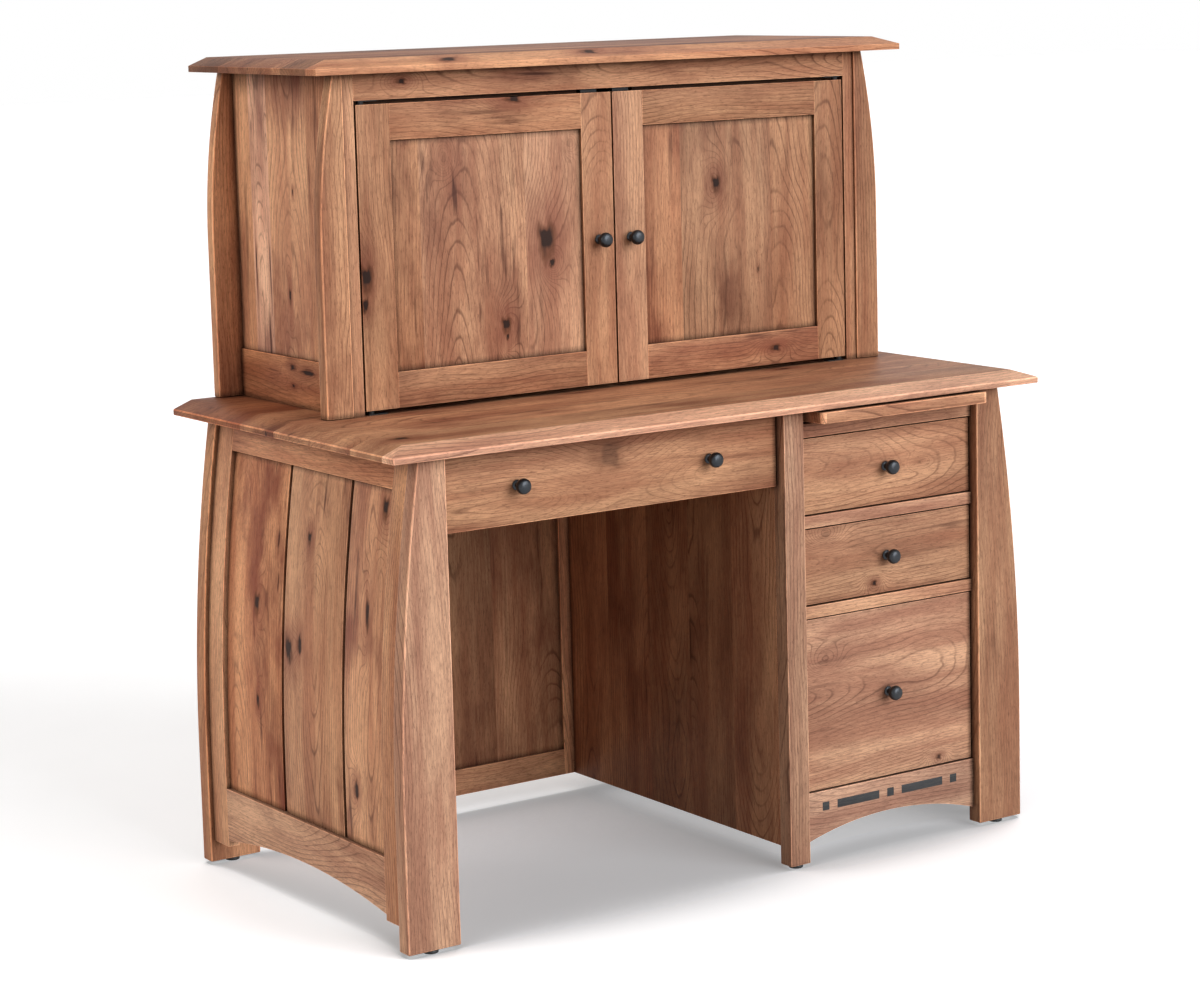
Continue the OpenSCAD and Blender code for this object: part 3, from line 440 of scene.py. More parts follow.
def saw(obj, way, pith=FLAT, tone=(0.0, 0.0, 0.5), knots=(), span=None):
    """Writes a board's grain.

    way names the axes along, across and through the board, such as "ZXY". pith is its distance
    to the side and below, with its taper if that is set, and tone is (lighter, redder or below 0
    greyer, stained). A knot is (along, across, radius, stretch, darkness), the last 1 if left out.
    span = (axis, low, high) keeps to the faces between two glue lines.
    """
    mesh = obj.data
    along, across, through = (AXES.index(a) for a in way)
    chosen = [
        p for p in mesh.polygons
        if span is None or span[1] * MM <= p.center[AXES.index(span[0])] < span[2] * MM
    ]
    spots = [mesh.vertices[v].co for v in {v for p in chosen for v in p.vertices}]
    middle = [(min(s[i] for s in spots) + max(s[i] for s in spots)) / 2 for i in range(3)]
    # Each board draws its numbers from its own place, so a change to one leaves the rest alone
    rng = random.Random(str([round(m * 1000) for m in middle]))
    start, side, lean = rng.uniform(0, 40), rng.choice((-1, 1)), rng.uniform(-12, 12)
    taper = rng.choice((-1, 1)) * rng.uniform(0.04, 0.08)
    level = (tone[0] + rng.uniform(-0.025, 0.025), tone[1] + rng.uniform(-0.03, 0.03), tone[2])
    marks = {name: knots[i] if i < len(knots) else None for i, name in enumerate(KNOT_LAYERS)}
    if len(pith) == 3:
        side, lean, taper = 1, 0, pith[2]
    for name in LAYERS:
        if name not in mesh.attributes:
            mesh.attributes.new(name, "FLOAT_VECTOR", "CORNER")
    layers = {name: mesh.attributes[name].data for name in LAYERS}
    # The narrow faces of the eased edges are lightened, as wear and as a painted highlight
    worn = set()
    for face in chosen:
        corners = [mesh.vertices[v].co for v in face.vertices]
        around = sum((a - b).length for a, b in zip(corners, corners[1:] + corners[:1]))
        if 2 * face.area < EDGE_W * MM * around:
            worn.update(face.loop_indices)
    for loop in (i for p in chosen for i in p.loop_indices):
        co = mesh.vertices[mesh.loops[loop].vertex_index].co
        length = co[along] - middle[along]
        layers["grain"][loop].vector = (
            length + start,
            co[across] - middle[across] + side * (pith[0] + lean) * MM,
            co[through] - middle[through] + pith[1] * MM + length * taper,
        )
        layers["tone"][loop].vector = (level[0] + EDGE_WEAR_AND_HIGHLIGHT * (loop in worn), level[1], level[2])
        for name, mark in marks.items():
            place = FAR
            if mark:
                size = mark[2] * MM
                place = (co[along] - mark[0] * MM) / (size * mark[3]), (co[across] - mark[1] * MM) / size
                place += (mark[4] if len(mark) == 5 else 1.0,)
            layers[name][loop].vector = place
    return obj


def glued(obj, split, way, boards):
    """A panel glued from boards: each is (its low edge on the split axis, pith, tone, knots)."""
    seams = [board[0] for board in boards[1:]]
    part_at(obj, split, seams)
    for board, low, high in zip(boards, [-math.inf] + seams, seams + [math.inf]):
        saw(obj, way, *board[1:], (split, low, high))
    return obj


# %% [markdown]
# A finished piece is the boards that are glued or screwed together and move as one. They are
# joined into one object and shaded smooth, apart from edges sharper than 32 degrees. The same
# function ties it to its body, so that it moves with its joint, and to its CAD nodes.

# %% Finishing a piece
def finish_piece(name, parts, material, body, slot, *nodes):
    """Joins the boards of a piece, and ties it to its body and its CAD nodes. slot is not used."""
    bpy.ops.object.select_all(action="DESELECT")
    for part in parts:
        part.select_set(True)
    obj = bpy.context.view_layer.objects.active = parts[0]
    if len(parts) > 1:
        bpy.ops.object.join()
    obj.name = obj.data.name = name
    obj.data.materials.clear()
    obj.data.materials.append(material)
    only(obj)
    bpy.ops.object.shade_smooth_by_angle(angle=math.radians(32))
    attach(obj, body)
    if nodes:
        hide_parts(*nodes)
    print(f"{name}: {len(parts)} parts, {len(obj.data.polygons)} faces")
    return obj


# %% [markdown]
# The legs give this desk its character. Each is straight at the foot, and then leans in on a
# long arc. The desk's sides follow the same arc, a little further in, and the hutch posts
# repeat it in small. One function gives the edge, so all of them agree.


# %% The bowed edge
def bow_edge(z0, z1, foot_x, start, top, bow, step=0.0, pieces=20):
    """Points up a bowed edge, moved in by step: straight to start, then an arc to top."""
    radius = ((top - start) ** 2 + bow**2) / (2 * bow)
    heights = [z0] if z0 < start else []
    if z1 <= start:
        heights.append(z1)
    else:
        low = max(z0, start)
        heights += [low + (z1 - low) * i / pieces for i in range(pieces + 1)]
    points = []
    for z in heights:
        rise = max(0.0, z - start)
        points.append((foot_x - radius + math.sqrt((radius - step) ** 2 - rise**2), z))
    return points


def desk_edge(z0, z1, step=0.0):
    """Points up the bowed edge of the desk's legs."""
    return bow_edge(z0, z1, LEG_OUT, BOW_Z, UNDER_Z, BOW, step)


def mirrored(points, side):
    """The outline on that side: 1 is right and -1 is left."""
    return [(side * x, z) for x, z in points]


def bowed_shell(side, step, thick, y0, y1, z0, z1, edge=0.8):
    """A curved board of the desk side, its face set in from the leg's edge by step."""
    outline = desk_edge(z0, z1, step) + desk_edge(z0, z1, step + thick)[::-1]
    return prism(mirrored(outline, side), "Y", y0, y1, edge)


def arch(u0, u1, base, rise, pieces=24):
    """Points over an arch from u0 to u1 that springs from height base."""
    half = (u1 - u0) / 2
    radius = (half**2 + rise**2) / (2 * rise)
    steps = [-half + 2 * half * i / pieces for i in range(pieces + 1)]
    return [(u0 + half + u, base + math.sqrt(radius**2 - u**2) - radius + rise) for u in steps]


print("lean of a leg:", BOW, "mm")

# %% [markdown]
# The desk top and the hutch top are slabs glued from wide boards, with a broad slope planed
# along the left, front and right edges. Two outlines cross to make that shape: one gives the
# slopes seen from the front, the other the slope seen from the side, and a boolean keeps what
# they share. The glue lines show best on the slopes, where each board is cut across its end.


# %% Sloped tops
def sloped_top(width, y0, y1, z0, z1):
    """A slab with sloped left, front and right edges."""
    half, flat, edge_z = width / 2, width / 2 - SLOPE_W, z1 - SLOPE_DROP
    across = [(-half, z0), (half, z0), (half, edge_z), (flat, z1), (-flat, z1), (-half, edge_z)]
    length = [(y0, z0), (y1, z0), (y1, z1), (y0 + SLOPE_W, z1), (y0, edge_z)]
    slab = cut(prism(across, "Y", y0, y1, 0), prism(length, "X", -half, half, 0), "INTERSECT")
    return ease(slab, 1.8, 3)


# The flat boards are toned darker and the front slope board paler: partly their own colour, partly painted
# shade on the top and painted light on the slope
DESK_BOARDS = [
    # front edge of the board, where it was sawn, tone, knots
    (-360, QUARTER, (0.5, -0.1, 0.25), []),
    (TOP_Y + SLOPE_W, RIFT, (-0.13, 0.02, 0.6), [(-566, -262, 10, 2.0)]),
    (-226, BROAD, (-0.04, 0.06, 0.8), []),
    (-104, RIFT, (-0.06, 0.15, 0.7), [(330, -40, 7, 2.5)]),
    (14, FLAT, (-0.26, 0.4, 0.8), []),
    (126, QUARTER, (-0.36, 0.8, 0.9), []),
    (248, FLAT, (-0.38, 0.7, 0.7), []),
]
top = glued(sloped_top(DESK_W, TOP_Y, BACK_Y, UNDER_Z, DESK_Z), "Y", "XYZ", DESK_BOARDS)
finish_piece("desk_top_boards", [top], HICKORY, "desk", "hickory", "desk_top")

# The flat boards are toned darker and the front slope board paler: partly their own colour, partly painted
# shade on the top and painted light on the slope
HUTCH_BOARDS = [
    (-70, QUARTER, (0.26, 0.15, 0.5), [(-60, -44, 8, 2.2), (-330, -50, 8, 2.0)]),
    (HTOP_Y + SLOPE_W, RIFT, (-0.42, 0.35, 0.8), []),
    (48, FLAT, (-0.16, 0.3, 0.8), []),
    (152, RIFT, (-0.26, 0.35, 0.9), []),
    (256, FLAT, (-0.5, 0.45, 0.7), []),
]
top = glued(sloped_top(HUTCH_W, HTOP_Y, BACK_Y, HUNDER_Z, HUTCH_Z), "Y", "XYZ", HUTCH_BOARDS)
finish_piece("hutch_top_boards", [top], HICKORY, "desk", "hickory", "hutch_top")

# %% [markdown]
# Legs and posts are single boards. They are quarter-sawn or rift-sawn, because straight grain
# keeps a leg straight, so their fronts look plainer and a little paler than the panels.

# %% Legs
LEGS = [
    # node, side, front face, tone
    ("front_left_leg", -1, LEG_Y, (0.03, -0.1, 0.1)),
    ("back_left_leg", -1, BACK_LEG_Y, (-0.06, 0.12, 0.4)),
    ("front_right_leg", 1, LEG_Y, (-0.19, 0.0, 0.3)),
    ("back_right_leg", 1, BACK_LEG_Y, (0.0, 0.0, 0.4)),
]
for node, side, y0, tone in LEGS:
    outline = [(LEG_IN, GLIDE_H)] + desk_edge(GLIDE_H, UNDER_Z) + [(LEG_IN, UNDER_Z)]
    leg = ease(prism(mirrored(outline, side), "Y", y0, y0 + LEG_T, 0), 2.2, 3)
    saw(leg, "ZXY", QUARTER, tone)
    finish_piece(node + "_board", [leg], HICKORY, "desk", "hickory", node)

post = box(POST_X0, POST_X1, LEG_Y, LEG_Y + LEG_T, GLIDE_H, UNDER_Z, 1.2)
saw(post, "ZXY", QUARTER, (-0.13, -0.1, 0.25))
finish_piece("center_post_board", [post], HICKORY, "desk", "hickory", "center_post")

# %% [markdown]
# The hutch posts have the leg's curve in small. The front ones stand a little ahead of the doors.

# %% Hutch posts
posts = []
for side in (-1, 1):
    bow = bow_edge(DESK_Z, HUNDER_Z, HPOST_OUT, HBOW_Z, HUNDER_Z, HBOW)
    for inner, y0, y1, tone in (
        # The right front post is toned darker than the left: painted shade, as the light falls off to the
        # right
        (HPOST_IN, HPOST_Y - HPROUD, 0, (-0.13 - 0.04 * side, 0.02, 0.6)),
        (HBACK_IN, HBACK_POST_Y, BACK_Y, (0.15, 0.06, 0.4)),
    ):
        outline = mirrored([(inner, DESK_Z)] + bow + [(inner, HUNDER_Z)], side)
        board = ease(prism(outline, "Y", y0, y1, 0), 2.2, 3)
        posts.append(saw(board, "ZXY", RIFT, tone))
finish_piece("hutch_post_boards", posts, HICKORY, "desk", "hickory", "hutch_posts")

# %% [markdown]
# Each side of the desk is a frame round three upright boards. The frame bends with the legs:
# each of its parts is an outline between two arcs, extruded along the depth, and the bottom
# rail then loses an arch to a boolean. A groove parts the boards, closed by a thin tongue.

# %% Desk sides: frames
SIDE_Y0, SIDE_Y1, OPEN_Y0, OPEN_Y1 = LEG_Y + LEG_T, BACK_LEG_Y, -242, 276
SIDE_Z0, OPEN_Z0, OPEN_Z1, SIDE_STEP, SIDE_T = 42, 142, 708, 8, 20

for side, label in ((-1, "left"), (1, "right")):
    front = bowed_shell(side, SIDE_STEP, SIDE_T, SIDE_Y0, OPEN_Y0, SIDE_Z0, UNDER_Z)
    rear = bowed_shell(side, SIDE_STEP, SIDE_T, OPEN_Y1, SIDE_Y1, SIDE_Z0, UNDER_Z)
    high = bowed_shell(side, SIDE_STEP, SIDE_T, OPEN_Y0, OPEN_Y1, OPEN_Z1, UNDER_Z)
    low = bowed_shell(side, SIDE_STEP, SIDE_T, OPEN_Y0, OPEN_Y1, SIDE_Z0, OPEN_Z0, 0)
    gap = [(SIDE_Y0, SIDE_Z0 - 9)] + arch(SIDE_Y0, SIDE_Y1, SIDE_Z0, 33) + [(SIDE_Y1, SIDE_Z0 - 9)]
    low = ease(cut(low, prism(gap, "X", *sorted((side * 500, side * 640)), 0)), 0.8)
    saw(front, "ZYX", QUARTER, (0.14, 0.1, 0.4))
    saw(rear, "ZYX", QUARTER, (0.28, -0.06, 0.4))
    saw(high, "YZX", QUARTER, (0.36, 0.0, 0.4))
    saw(low, "YZX", RIFT, (0.18, -0.08, 0.6))
    parts = [front, rear, high, low]
    finish_piece(f"{label}_side_frame_boards", parts, HICKORY, "desk", "hickory", f"{label}_side_frame")

# %% Desk sides: boards
BOARD_STEP, BOARD_T, TONGUE_T, GROOVE = 8, 10, 4, 8
BOARD_Y = [(OPEN_Y0, -115), (-107, 80.5), (88.5, OPEN_Y1)]
SIDE_LOOKS = {
    -1: [
        (FLAT, (0.32, -0.06, 0.9), [(675, -216, 9, 2.2), (508, -181, 6, 4.5), (228, -150, 7, 2.0)]),
        (FLAT, (0.13, -0.03, 1.1), [(599, 10, 6, 2.0), (413, 64, 12, 1.8), (427, 29, 7, 2.2)]),
        (RIFT, (0.34, 0.2, 1.0), [(470, 174, 9, 2.4), (311, 168, 5, 2.5)]),
    ],
    1: [
        (FLAT, (0.03, 0.0, 0.7), [(330, -170, 9, 2.0)]),
        (RIFT, (-0.05, 0.2, 0.8), [(610, -20, 7, 2.2)]),
        (FLAT, (0.04, 0.05, 0.6), [(400, 190, 11, 1.8), (560, 150, 6, 2.0)]),
    ],
}
for side, label in ((-1, "left"), (1, "right")):
    boards = []
    for (y0, y1), (pith, tone, knots) in zip(BOARD_Y, SIDE_LOOKS[side]):
        board = bowed_shell(side, SIDE_STEP + BOARD_STEP, BOARD_T, y0, y1, OPEN_Z0, OPEN_Z1, 1.2)
        boards.append(saw(board, "ZYX", pith, tone, knots))
    for y0 in (BOARD_Y[0][1], BOARD_Y[1][1]):
        step = SIDE_STEP + BOARD_STEP + BOARD_T - TONGUE_T
        tongue = bowed_shell(side, step, TONGUE_T, y0, y0 + GROOVE, OPEN_Z0, OPEN_Z1, 0)
        # The tongue is toned dark: painted shade in the groove between the boards
        boards.append(saw(tongue, "ZYX", QUARTER, (-0.7, 0.3, 0.5)))
    name = f"{label}_side_panel_boards"
    finish_piece(name, boards, HICKORY, "desk", "hickory_panel", f"{label}_side_boards")

# %% [markdown]
# The back of the kneehole and the pedestal wall are thin panels glued from upright boards. Each
# is modelled as one slab and bisected at its glue lines, so that the faces on either side can
# carry different grain without a crack between them.

# %% Desk back
BACK_Z0, BACK_LOW_Z, BACK_HIGH_Z, BACK_T, STILE = 37, 83, 704, 20, 60
MULLION_X = (POST_X0 + WALL_X) / 2
BAYS = [(-LEG_IN + STILE, MULLION_X - STILE / 2), (MULLION_X + STILE / 2, LEG_IN - STILE)]
back = []
for x0, x1, tone in (
    (-LEG_IN, BAYS[0][0], 0.05),
    # The middle stile is toned paler: painted light, where the light falls on it
    (BAYS[0][1], BAYS[1][0], 0.4),
    (BAYS[1][1], LEG_IN, 0.05),
):
    stile = box(x0, x1, FRAME_Y, FRAME_Y + BACK_T, BACK_Z0, UNDER_Z)
    back.append(saw(stile, "ZXY", RIFT, (tone, 0.0, 0.4)))
for x0, x1 in BAYS:
    for z0, z1 in ((BACK_Z0, BACK_LOW_Z), (BACK_HIGH_Z, UNDER_Z)):
        back.append(saw(box(x0, x1, FRAME_Y, FRAME_Y + BACK_T, z0, z1), "XZY", RIFT, (0.07, 0.0, 0.5)))
finish_piece("back_frame_boards", back, HICKORY, "desk", "hickory", "back_frame")


def even_boards(low, high, tones):
    """Boards of equal width from low to high, flat-sawn and rift-sawn in turn."""
    width = (high - low) / len(tones)
    return [(low + width * i, (FLAT, RIFT)[i % 2], (tone, 0.08, 0.6), []) for i, tone in enumerate(tones)]


panels = []
# The third board of the kneehole back is toned darker: painted shade
for (x0, x1), tones in zip(BAYS, ((-0.16, 0.16, -0.36, -0.08), (0.03, -0.04, 0.0))):
    panel = box(x0, x1, FRAME_Y + 6, FRAME_Y + 14, BACK_LOW_Z, BACK_HIGH_Z, 0.2)
    panels.append(glued(panel, "X", "ZXY", even_boards(x0, x1, tones)))
finish_piece("back_panel_boards", panels, HICKORY, "desk", "hickory_panel", "back_panels")

# %% [markdown]
# The wall beside the kneehole is one glued slab. The lining behind the right leg only packs out
# the drawer slides, so it is plain maple.

# %% Pedestal wall and lining
wall = box(POST_X0, WALL_X, LEG_Y + LEG_T, FRAME_Y, BACK_Z0, UNDER_Z, 0.6)
glued(wall, "Y", "ZYX", even_boards(LEG_Y + LEG_T, FRAME_Y, (-0.06, -0.34, -0.3, -0.22, -0.06)))
finish_piece("pedestal_wall_boards", [wall], HICKORY, "desk", "hickory_panel", "pedestal_wall")
lining = box(LEG_IN, LEG_IN + 12, LEG_Y + LEG_T, FRAME_Y, BACK_Z0, UNDER_Z, 0.4)
glued(lining, "Y", "ZYX", even_boards(LEG_Y + LEG_T, FRAME_Y, (0.0, 0.02, -0.02, 0.01)))
finish_piece("pedestal_lining_boards", [lining], MAPLE, "desk", "maple", "pedestal_liner")

# %% [markdown]
# Three rails part the drawers. The lowest rail is arched and has five black inlays, long and
# square in turn: the pockets are cut into the rail, and each block is let in flush.

# %% Pedestal rails
HIGH_RAIL_Z, RAIL_Z2, RAIL_Z3, ARCH_TOP_Z, ARCH_Z = 713.5, 563, 412.5, 118, 32
rails = []
for z0, height in ((HIGH_RAIL_Z, 22.5), (RAIL_Z2, 20), (RAIL_Z3, 20)):
    board = box(POST_X1, LEG_IN, RAIL_Y, RAIL_Y + 22, z0, z0 + height)
    rails.append(saw(board, "XZY", RIFT, (0.12, -0.08, 0.5)))
finish_piece("drawer_rail_boards", rails, HICKORY, "desk", "hickory", "drawer_rails")

INLAY_H, INLAY_L, INLAY_GAP, INLAY_T, INLAY_Z = 14.5, 90, 17, 3, ARCH_TOP_Z - 26.5
INLAY_X = (POST_X1 + LEG_IN) / 2
pitch = (INLAY_H + INLAY_L) / 2 + INLAY_GAP
inlay_spans = []
for i, length in zip(range(-2, 3), (INLAY_H, INLAY_L, INLAY_H, INLAY_L, INLAY_H)):
    inlay_spans.append((INLAY_X + i * pitch - length / 2, INLAY_X + i * pitch + length / 2))

outline = [(POST_X1, ARCH_TOP_Z)] + arch(POST_X1, LEG_IN, ARCH_Z, 29) + [(LEG_IN, ARCH_TOP_Z)]
rail = prism(outline, "Y", RAIL_Y, RAIL_Y + 22)
blocks = []
for x0, x1 in inlay_spans:
    cut(rail, box(x0, x1, RAIL_Y - 5, RAIL_Y + INLAY_T, INLAY_Z - INLAY_H / 2, INLAY_Z + INLAY_H / 2, 0))
    block = box(x0, x1, RAIL_Y, RAIL_Y + INLAY_T, INLAY_Z - INLAY_H / 2, INLAY_Z + INLAY_H / 2, 0.25)
    blocks.append(saw(block, "XZY", QUARTER, (0.0, 0.0, 0.2)))
saw(rail, "XZY", RIFT, (-0.02, -0.16, 0.4))
finish_piece("arched_rail_board", [rail], HICKORY, "desk", "hickory", "arched_rail")
finish_piece("inlay_blocks", blocks, EBONY, "desk", "black_inlay", "inlays")

# %% [markdown]
# The hutch is a box: a glued panel over a broad rail on each side, a face frame round the doors,
# a back and a shelf. Pins carry the shelf, in one of five rows of holes. The holes are drilled
# with one boolean: its tool is ten short rods, joined.

# %% Hutch sides
HRAIL_Z, HBACK_Z, HPANEL_STEP = 866, 1266, 4
PIN_Y, PIN_Z, PIN_PITCH, PIN_R, PIN_DEEP = (35, 315), 1046.5, 32, 2.5, 9
HSIDE_LOOKS = {
    -1: [
        (0, RIFT, (0.34, 0.0, 0.5), []),
        (100, FLAT, (0.4, -0.02, 0.9), [(965, 171, 4, 4.0), (1135, 150, 2, 3.0)]),
        (229, FLAT, (0.8, -0.14, 0.9), [(1003, 282, 2, 26.0), (1000, 235, 2.5, 24.0, 0.7)]),
        (290, RIFT, (0.36, 0.0, 0.7), []),
    ],
    1: [
        (0, RIFT, (0.05, 0.1, 0.6), []),
        (120, FLAT, (0.02, 0.05, 0.8), [(1120, 190, 9, 2.0)]),
        (240, BROAD, (0.08, 0.0, 0.6), []),
    ],
}
HRAIL_KNOTS = {-1: [(165, 850, 5, 2.0), (165, 820, 3, 1.6), (116, 846, 5, 4.0)], 1: [(250, 830, 6, 2.0)]}
side_rails, side_panels = [], []
for side in (-1, 1):
    x0, x1 = sorted((side * HSIDE_IN, side * HSIDE_OUT))
    rail = box(x0, x1, 0, HBACK_POST_Y, DESK_Z, HRAIL_Z)
    side_rails.append(saw(rail, "YZX", RIFT, (-0.1, 0.5, 0.9), HRAIL_KNOTS[side]))
    rods = []
    for y in PIN_Y:
        for row in range(-2, 3):
            middle = [(side * HSIDE_IN) * MM, y * MM, (PIN_Z + row * PIN_PITCH) * MM]
            turn = (0, math.radians(90), 0)
            size = {"radius": PIN_R * MM, "depth": 2 * PIN_DEEP * MM}
            bpy.ops.object.select_all(action="DESELECT")
            bpy.ops.mesh.primitive_cylinder_add(vertices=24, location=middle, rotation=turn, **size)
            rods.append(bpy.context.object)
    for rod in rods:
        rod.select_set(True)
    bpy.ops.object.join()
    bpy.ops.object.transform_apply(location=True, rotation=True, scale=True)
    rods = bpy.context.object
    x0, x1 = sorted((side * HSIDE_IN, side * (HSIDE_OUT - HPANEL_STEP)))
    panel = cut(box(x0, x1, 0, HBACK_POST_Y, HRAIL_Z, HUNDER_Z, 0.4), rods)
    side_panels.append(glued(panel, "Y", "ZYX", HSIDE_LOOKS[side]))
finish_piece("hutch_side_rail_boards", side_rails, HICKORY, "desk", "hickory", "hutch_side_frames")
finish_piece("hutch_side_panel_boards", side_panels, HICKORY, "desk", "hickory_panel", "hutch_side_panels")

# %% [markdown]
# The face frame is a rail and two narrow stiles. Stop strips behind it shut out the light over
# the doors. The back and the shelf are glued panels, and two rails hold the back.

# %% Hutch face frame, back and shelf
FACE_RAIL_Z, STOP_Z, CATCH_X, PIVOT_X = 1283, 1300, 56, 458
HPANEL_Y, SHELF_Y, SHELF_Z, SHELF_T = 335, 20, 1049, 19
rail = box(-DOOR_OPEN_X, DOOR_OPEN_X, HPOST_Y, 0, FACE_RAIL_Z, HUNDER_Z)
face = [saw(rail, "XZY", FLAT, (0.06, 0.0, 0.7), [(-400, 1310, 5, 2.0)])]
for x0, x1 in ((-HPOST_IN, -DOOR_OPEN_X), (DOOR_OPEN_X, HPOST_IN)):
    face.append(saw(box(x0, x1, HPOST_Y, 0, DESK_Z, HUNDER_Z), "ZXY", QUARTER, (0.03, 0.0, 0.3)))
finish_piece("hutch_face_frame_boards", face, HICKORY, "desk", "hickory", "hutch_face_frame")

stops = []
for side in (-1, 1):
    for near, far, y0, z0, z1 in (
        (CATCH_X, PIVOT_X, 0, DOOR_Z1 + 1, STOP_Z),
        (CATCH_X, PIVOT_X, 0.8, DOOR_Z1 - 10, DOOR_Z1 + 1),
        (PIVOT_X, DOOR_OPEN_X, 6, DOOR_Z1 + 1, STOP_Z),
    ):
        x0, x1 = sorted((side * near, side * far))
        # The strips are toned dark: painted shade in the gap over the doors
        stops.append(saw(box(x0, x1, y0, 12, z0, z1, 0.3), "XZY", RIFT, (-0.55, 0.1, 0.3)))
finish_piece("door_stop_strips", stops, HICKORY, "desk", "hickory")

hutch_back = []
for z0, z1 in ((DESK_Z, HRAIL_Z), (HBACK_Z, HUNDER_Z)):
    hutch_back.append(saw(box(-HBACK_IN, HBACK_IN, HBACK_POST_Y, BACK_Y, z0, z1), "XZY", FLAT))
panel = box(-HSIDE_IN, HSIDE_IN, HPANEL_Y, HBACK_POST_Y, DESK_Z, HUNDER_Z, 0.2)
tones = (0.0, -0.05, 0.03, -0.02, 0.02, -0.04)
glued(panel, "X", "ZXY", even_boards(-HSIDE_IN, HSIDE_IN, tones))
finish_piece("hutch_back_boards", hutch_back + [panel], HICKORY, "desk", "hickory", "hutch_back")

shelf_x, shelf_y1 = HSIDE_IN - 0.5, HPANEL_Y - 0.5
shelf = box(-shelf_x, shelf_x, SHELF_Y, shelf_y1, SHELF_Z, SHELF_Z + SHELF_T, 1.0)
glued(shelf, "Y", "XYZ", even_boards(SHELF_Y, shelf_y1, (0.02, -0.04, 0.0)))
finish_piece("hutch_shelf_board", [shelf], HICKORY, "desk", "hickory", "hutch_shelf")

# %% [markdown]
# Each door has two stiles and two rails round a flat panel glued from three boards. Knots make
# rustic hickory what it is, so they are placed one by one, where the real doors have them.

# %% Door looks
STILE_W, DOOR_RAIL_W = 60, 57.5
PANEL_X0, PANEL_X1 = DOOR_X0 + STILE_W, DOOR_X1 - STILE_W
PANEL_Z0, PANEL_Z1 = DOOR_Z0 + DOOR_RAIL_W, DOOR_Z1 - DOOR_RAIL_W
DOORS = {
    # stiles are inner then outer, and rails are low then high
    "left": (-1, {
        "stiles": [
            (FLAT, (-0.05, -0.03, 0.2), []),
            (RIFT, (-0.18, 0.08, 0.9), [(1004, -475, 11, 2.2), (962, -479, 6, 2.0)]),
        ],
        "rails": [(RIFT, (-0.28, 0.2, 0.6), []), (RIFT, (-0.08, 0.06, 0.8), [(-192, 1274, 7, 2.4)])],
        "panel": [
            (-PANEL_X1, QUARTER, (-0.18, 0.2, 1.0), []),
            (-370, (45, 55, 0.09), (-0.04, -0.02, 0.7), [
                (908, -214, 9, 1.7),
                (889, -212, 3, 2.0),
                (1186, -322, 6, 1.5, 0.12),
            ]),
            (-171, RIFT, (0.08, -0.06, 0.4), [
                (1040, -132, 17, 2.0),
                (1003, -122, 6, 1.3),
                (1197, -83, 5, 1.3, 0.2),
            ]),
        ],
    }),
    "right": (1, {
        "stiles": [(QUARTER, (0.0, -0.04, 0.3), []), (FLAT, (-0.24, 0.12, 0.6), [])],
        "rails": [(RIFT, (-0.08, 0.16, 0.6), [(330, 822, 6, 2.0)]), (RIFT, (-0.2, 0.1, 0.5), [])],
        "panel": [
            (PANEL_X0, RIFT, (-0.07, 0.14, 1.0), []),
            (140, (-10, 85, 0.05), (-0.23, -0.02, 0.7), [(1112, 214, 9, 1.8), (960, 300, 3, 2.0, 0.5)]),
            (330, (30, 60, 0.06), (-0.1, 0.0, 0.3), []),
        ],
    }),
}
print("door panel:", PANEL_X1 - PANEL_X0, "x", PANEL_Z1 - PANEL_Z0, "mm")

# %% Doors
for label, (side, looks) in DOORS.items():
    body, y0, y1 = f"{label}_door", HPOST_Y, HPOST_Y + DOOR_T
    parts = []
    for (x0, x1), (pith, tone, knots) in zip(((DOOR_X0, PANEL_X0), (PANEL_X1, DOOR_X1)), looks["stiles"]):
        x0, x1 = sorted((side * x0, side * x1))
        parts.append(saw(box(x0, x1, y0, y1, DOOR_Z0, DOOR_Z1, 0.7), "ZXY", pith, tone, knots))
    x0, x1 = sorted((side * PANEL_X0, side * PANEL_X1))
    for (z0, z1), (pith, tone, knots) in zip(((DOOR_Z0, PANEL_Z0), (PANEL_Z1, DOOR_Z1)), looks["rails"]):
        parts.append(saw(box(x0, x1, y0, y1, z0, z1, 0.7), "XZY", pith, tone, knots))
    finish_piece(f"{body}_frame_boards", parts, HICKORY, body, "hickory", f"{body}_frame")
    panel = glued(box(x0, x1, y0 + 6, y0 + 14, PANEL_Z0, PANEL_Z1, 0.2), "X", "ZXY", looks["panel"])
    finish_piece(f"{body}_panel_boards", [panel], HICKORY, body, "hickory_panel", f"{body}_panel")

# %% [markdown]
# A drawer is a solid front on a maple box. The box is butted together from four sides and a
# thin bottom, and a gap of 2.5 mm round the front lets it slide.

# %% Drawers
PENCIL = (-LEG_IN, POST_X0, 640, 121.5, 80)
UPPER = (POST_X1, LEG_IN, 585.5, 125.5, 96)
LOWER = (POST_X1, LEG_IN, 435, 125.5, 96)
FILE = (POST_X1, LEG_IN, 120.5, 289.5, 240)
REVEAL, SLIDE_T, SIDE_BOX_T, BOX_L, BOX_UP = 2.5, 12.5, 12, 556, 14
DRAWERS = {
    # bay with the front's height and the box's, where the front was sawn, tone, knots
    "pencil": (PENCIL, (20, 35), (-0.1, 0.0, 0.5), [(-217, 728, 26, 1.4, 0.4)]),
    "upper": (UPPER, (10, 60), (0.04, -0.02, 0.3), [(413, 646, 3, 2.0, 0.3)]),
    "lower": (LOWER, (-25, 30), (-0.08, -0.02, 0.5), [(312, 453, 5, 1.3), (211, 547, 7, 1.6, 0.25)]),
    "file": (FILE, (20, 100), (0.05, -0.06, 0.3), [(448, 133, 5, 1.4, 0.8), (204, 334, 9, 1.4, 0.1)]),
}
